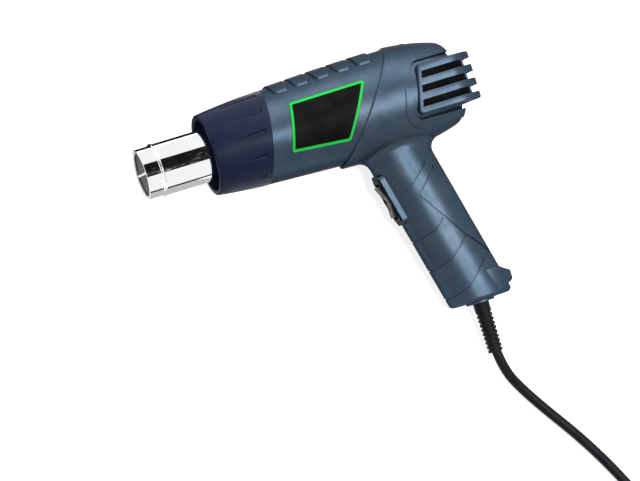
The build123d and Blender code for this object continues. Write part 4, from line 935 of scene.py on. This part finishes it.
class HEATGUN_OT_cord(bpy.types.Operator):
    """Lay the cord from the strain relief along the floor and into its stored coil"""

    bl_idname = "heatgun.cord"
    bl_label = "Cord"

    def execute(self, context):
        size = sizes()
        floor_line = FLOOR_Z + size.cord_diameter / 2
        level = coil_entry()[0].z
        heights = [floor_line, level, level]
        points = [laid(RELIEF_X, CORD_START_Y, 0), laid(RELIEF_X, CORD_BEND_Y, 0)]
        points += [Vector((x * MM, y * MM, z)) for (x, y), z in zip(CORD_ROUTE, heights)]
        points += coil_points()
        points += [plug_matrix() @ Vector((0, 0, along * MM)) for along in (0.0, CORD_IN_PLUG)]
        curve = bpy.data.curves.new("mains_cord", "CURVE")
        curve.dimensions = "3D"
        curve.resolution_u = 8
        curve.bevel_depth = size.cord_diameter / 2
        curve.bevel_resolution = 5
        curve.use_fill_caps = True
        line = curve.splines.new("NURBS")
        line.points.add(len(points) - 1)
        for point, place in zip(line.points, points):
            point.co = (*place, 1.0)
        line.order_u = 3
        line.use_endpoint_u = True
        cord = bpy.data.objects.new("mains_cord", curve)
        context.scene.collection.objects.link(cord)
        dress(cord, material("cord_sheath"), "gun", "cord_black", "power_cord", "cord_coil")
        return {"FINISHED"}


class HEATGUN_OT_plug(bpy.types.Operator):
    """Model the moulded plug with its ribbed neck and finger grip"""

    bl_idname = "heatgun.plug"
    bl_label = "Plug"

    def execute(self, context):
        place = plug_matrix()
        height = 2 * (place.translation.z - FLOOR_Z)
        deselect_all()
        bpy.ops.mesh.primitive_cube_add(
            size=1.0, location=(0, 0, (PLUG_NECK + PLUG_LENGTH / 2) * MM),
            scale=(PLUG_WIDTH * MM, height, PLUG_LENGTH * MM))
        body = settle(added("plug_case"))
        pick_edges(body, lambda middle, along: abs(along.z) > 0.9)
        bpy.ops.mesh.bevel(offset=PLUG_CORNER * MM, segments=5)
        pick_faces(body, lambda centre, normal: normal.z < -0.9)
        bpy.ops.transform.resize(value=(PLUG_TAPER, PLUG_TAPER, 1.0),
                                 center_override=(0, 0, PLUG_NECK * MM))
        grooves = groove_levels(*GRIP_GROOVES, base=PLUG_NECK)
        for low, high in grooves:
            cut_across(low, high)
        pick_faces(body, lambda centre, normal: abs(normal.y) > 0.95 and any(
            low < centre.z < high for low, high in grooves))
        bpy.ops.mesh.inset(thickness=GRIP_GROOVE_INSET * MM, use_individual=True)
        sink(GRIP_GROOVE_DEPTH)
        apply_modifier(body, "BEVEL", width=PLUG_EDGE * MM, segments=2, limit_method="ANGLE",
                       angle_limit=radians(40.0))

        neck_end = (PLUG_NECK + NECK_OVERLAP) * MM
        bpy.ops.mesh.primitive_cone_add(
            vertices=32, radius1=PLUG_NECK_TIP_DIAMETER / 2 * MM,
            radius2=PLUG_NECK_DIAMETER / 2 * MM, depth=neck_end, location=(0, 0, neck_end / 2))
        neck = settle(added("plug_neck"))
        for low, high in groove_levels(*NECK_GROOVES):
            bpy.ops.object.mode_set(mode="EDIT")
            cut_across(low, high)
            pick_faces(neck, lambda centre, normal: low < centre.z < high and abs(normal.z) < 0.7)
            sink(NECK_GROOVE_DEPTH)
            bpy.ops.object.mode_set(mode="OBJECT")
        plug = join("plug_moulding", [body, neck])
        settle(plug, place)
        smooth(plug)
        dress(plug, material("plug_moulding"), "gun", "plug_black", "plug_body")
        return {"FINISHED"}


# ---------------- Pieces of the gun
class HEATGUN_OT_outlet_mesh(bpy.types.Operator):
    """Set the fine wire mesh in the mouth"""

    bl_idname = "heatgun.outlet_mesh"
    bl_label = "Outlet mesh"

    def execute(self, context):
        size = sizes()
        count = round(2 * MESH_RADIUS * MM / size.mesh_pitch)
        deselect_all()
        bpy.ops.mesh.primitive_grid_add(x_subdivisions=count, y_subdivisions=count,
                                        size=count * size.mesh_pitch)
        wires = added("mesh_wires")
        reach = MESH_RADIUS * MM - size.mesh_wire
        pick_faces(wires, lambda centre, normal: hypot(centre.x, centre.y) > reach)
        bpy.ops.mesh.delete(type="FACE")
        apply_modifier(wires, "WIREFRAME", thickness=size.mesh_wire, use_even_offset=False,
                       use_boundary=True)
        settle(wires, LIE_TURN @ Matrix.Translation((MESH_X * MM, 0, 0))
               @ Matrix.Rotation(-pi / 2, 4, "Y"))
        smooth(wires)
        dress(wires, material("mesh_steel"), "gun", "mesh_steel", "outlet_grille")
        return {"FINISHED"}


class HEATGUN_OT_mesh_rim(bpy.types.Operator):
    """Close the edge of the outlet mesh with its bright rolled rim"""

    bl_idname = "heatgun.mesh_rim"
    bl_label = "Mesh rim"

    def execute(self, context):
        deselect_all()
        bpy.ops.mesh.primitive_torus_add(
            major_radius=RIM_MAJOR * MM, minor_radius=RIM_MINOR * MM, major_segments=96,
            minor_segments=16, location=(RIM_X * MM, 0, 0), rotation=(0, pi / 2, 0))
        rim = settle(added("mesh_rim"))
        settle(rim, LIE_TURN)
        smooth(rim)
        dress(rim, material("bar_steel"), "gun", "mesh_steel")
        return {"FINISHED"}


class HEATGUN_OT_louvres(bpy.types.Operator):
    """Round the edges of the intake cover's louvres"""

    bl_idname = "heatgun.louvres"
    bl_label = "Louvres"

    def execute(self, context):
        take(bpy.data.objects["intake_grille"])
        bpy.ops.object.duplicate()
        cover = added("intake_louvres")
        bpy.ops.object.mode_set(mode="EDIT")
        bpy.ops.mesh.select_all(action="SELECT")
        bpy.ops.mesh.remove_doubles(threshold=0.01 * MM)
        bpy.ops.mesh.dissolve_limited(angle_limit=radians(1.0))
        apply_modifier(cover, "BEVEL", width=sizes().louvre_round, segments=3, limit_method="ANGLE",
                       angle_limit=radians(50.0), use_clamp_overlap=True)
        settle(cover)
        smooth(cover)
        dress(cover, material("housing_plastic"), "gun", "housing_blue", "intake_grille")
        return {"FINISHED"}


class HEATGUN_OT_intake_shade_sheet(bpy.types.Operator):
    """Line the intake cover behind the louvres with a near-black sheet, painted shade for the dark
    inside of the intake
    """

    bl_idname = "heatgun.intake_foam"
    bl_label = "Intake foam"

    def execute(self, context):
        deselect_all()
        low = Vector((SHADE_SHEET_FRONT_X, SHADE_SHEET_MIDDLE_Y - SHADE_SHEET_HEIGHT / 2, -SHADE_SHEET_HALF_WIDTH)) * MM
        high = Vector((SHADE_SHEET_REAR_X, SHADE_SHEET_MIDDLE_Y + SHADE_SHEET_HEIGHT / 2, SHADE_SHEET_HALF_WIDTH)) * MM
        bpy.ops.mesh.primitive_cube_add(size=1.0, location=(low + high) / 2, scale=high - low)
        shade_sheet = settle(added("intake_foam"))
        halfway = (low.x + high.x) / 2
        pick_edges(shade_sheet, lambda middle, along: abs(along.y) > 0.9 and middle.x > halfway)
        bpy.ops.mesh.bevel(offset=SHADE_SHEET_CORNER * MM, segments=12)
        pick_faces(shade_sheet, lambda place, normal: abs(normal.y) > 0.9 or normal.x < -0.9)
        bpy.ops.mesh.delete(type="FACE")
        apply_modifier(shade_sheet, "SOLIDIFY", thickness=SHADE_SHEET_THICKNESS * MM, offset=-1.0)
        settle(shade_sheet, LIE_TURN)
        smooth(shade_sheet)
        dress(shade_sheet, material("filter_foam"), "gun", "mount_black")
        return {"FINISHED"}


class HEATGUN_OT_rocker_marks(bpy.types.Operator):
    """Set the marks of the three positions, I, 0 and II, on the rocker"""

    bl_idname = "heatgun.rocker_marks"
    bl_label = "Rocker marks"

    def execute(self, context):
        along = Vector((*ROCKER_SLOPE, 0.0))
        outward = along.cross(Vector((0, 0, 1)))
        pivot = Vector((ROCKER_PIVOT[0] * MM, ROCKER_PIVOT[1] * MM, 0.0))
        rocker = bpy.data.objects["switch_rocker"]
        marks = []
        for label, place in ROCKER_MARKS:
            deselect_all()
            bpy.ops.object.text_add()
            text = added(f"mark_{label}")
            text.data.body = label
            text.data.size = sizes().mark_height / CAPITAL_SHARE
            text.data.align_x = "CENTER"
            text.data.align_y = "CENTER"
            text.data.resolution_u = 4
            bpy.ops.object.convert(target="MESH")
            mark = bpy.context.object
            bpy.ops.object.mode_set(mode="EDIT")
            bpy.ops.mesh.select_all(action="SELECT")
            bpy.ops.mesh.bisect(plane_co=(0, 0, 0), plane_no=(0, 1, 0))
            above = pivot + along * place * MM + outward * MARK_DROP * MM
            marks.append(settle(
                mark, LIE_TURN @ facing_matrix(above, Vector((0, 0, 1)), -along, outward)))
        marked = join("rocker_marks", marks)
        apply_modifier(marked, "SHRINKWRAP", target=rocker, wrap_method="NEAREST_SURFACEPOINT",
                       wrap_mode="ABOVE_SURFACE", offset=MARK_LIFT * MM)
        apply_modifier(marked, "SOLIDIFY", thickness=MARK_LIFT * MM, offset=MARK_SINK)
        dress(marked, material("rocker_marks"), "rocker", "rocker_black")
        return {"FINISHED"}


class HEATGUN_OT_finishes(bpy.types.Operator):
    """Give every solid of the frame its finish"""

    bl_idname = "heatgun.finishes"
    bl_label = "Finishes of the solids"

    def execute(self, context):
        for name, (_, _, solids, _) in FINISHES.items():
            for solid in solids:
                for holder in bpy.data.objects[solid].material_slots:
                    holder.material = material(name)
        return {"FINISHED"}


class HEATGUN_OT_declare_cord(bpy.types.Operator):
    """Do nothing: the cord's real length and what is on it are not stated here"""

    bl_idname = "heatgun.declare_cord"
    bl_label = "Cord's facts"

    def execute(self, context):
        return {"FINISHED"}


class HEATGUN_PT_pieces(bpy.types.Panel):
    """The heat gun's pieces, in the order in which they are made"""

    bl_idname = "HEATGUN_PT_pieces"
    bl_label = "Heat gun"
    bl_space_type = "VIEW_3D"
    bl_region_type = "UI"
    bl_category = "Heat gun"

    def draw(self, context):
        for operator in OPERATORS:
            self.layout.operator(operator.bl_idname)
        for settings in (context.scene.heat_gun_sizes, context.scene.heat_gun_colours,
                         context.scene.heat_gun_stage):
            box = self.layout.box()
            for label in settings.__annotations__:
                box.prop(settings, label)


OPERATORS = (
    HEATGUN_OT_stage, HEATGUN_OT_cord, HEATGUN_OT_plug, HEATGUN_OT_declare_cord,
    HEATGUN_OT_outlet_mesh, HEATGUN_OT_mesh_rim, HEATGUN_OT_louvres, HEATGUN_OT_intake_shade_sheet,
    HEATGUN_OT_rocker_marks, HEATGUN_OT_finishes,
)
CLASSES = (HeatGunSizes, HeatGunColours, HeatGunStage, *OPERATORS, HEATGUN_PT_pieces)


def register():
    for kind in CLASSES:
        bpy.utils.register_class(kind)
    bpy.types.Scene.heat_gun_sizes = bpy.props.PointerProperty(type=HeatGunSizes)
    bpy.types.Scene.heat_gun_colours = bpy.props.PointerProperty(type=HeatGunColours)
    bpy.types.Scene.heat_gun_stage = bpy.props.PointerProperty(type=HeatGunStage)


def unregister():
    del bpy.types.Scene.heat_gun_stage
    del bpy.types.Scene.heat_gun_colours
    del bpy.types.Scene.heat_gun_sizes
    for kind in reversed(CLASSES):
        bpy.utils.unregister_class(kind)


def main():
    register()
    bpy.ops.heatgun.stage()
    bpy.ops.heatgun.cord()
    bpy.ops.heatgun.plug()
    bpy.ops.heatgun.declare_cord()
    bpy.ops.heatgun.outlet_mesh()
    bpy.ops.heatgun.mesh_rim()
    bpy.ops.heatgun.louvres()
    bpy.ops.heatgun.intake_foam()
    bpy.ops.heatgun.rocker_marks()
    bpy.ops.heatgun.finishes()


if __name__ == "__main__":
    main()
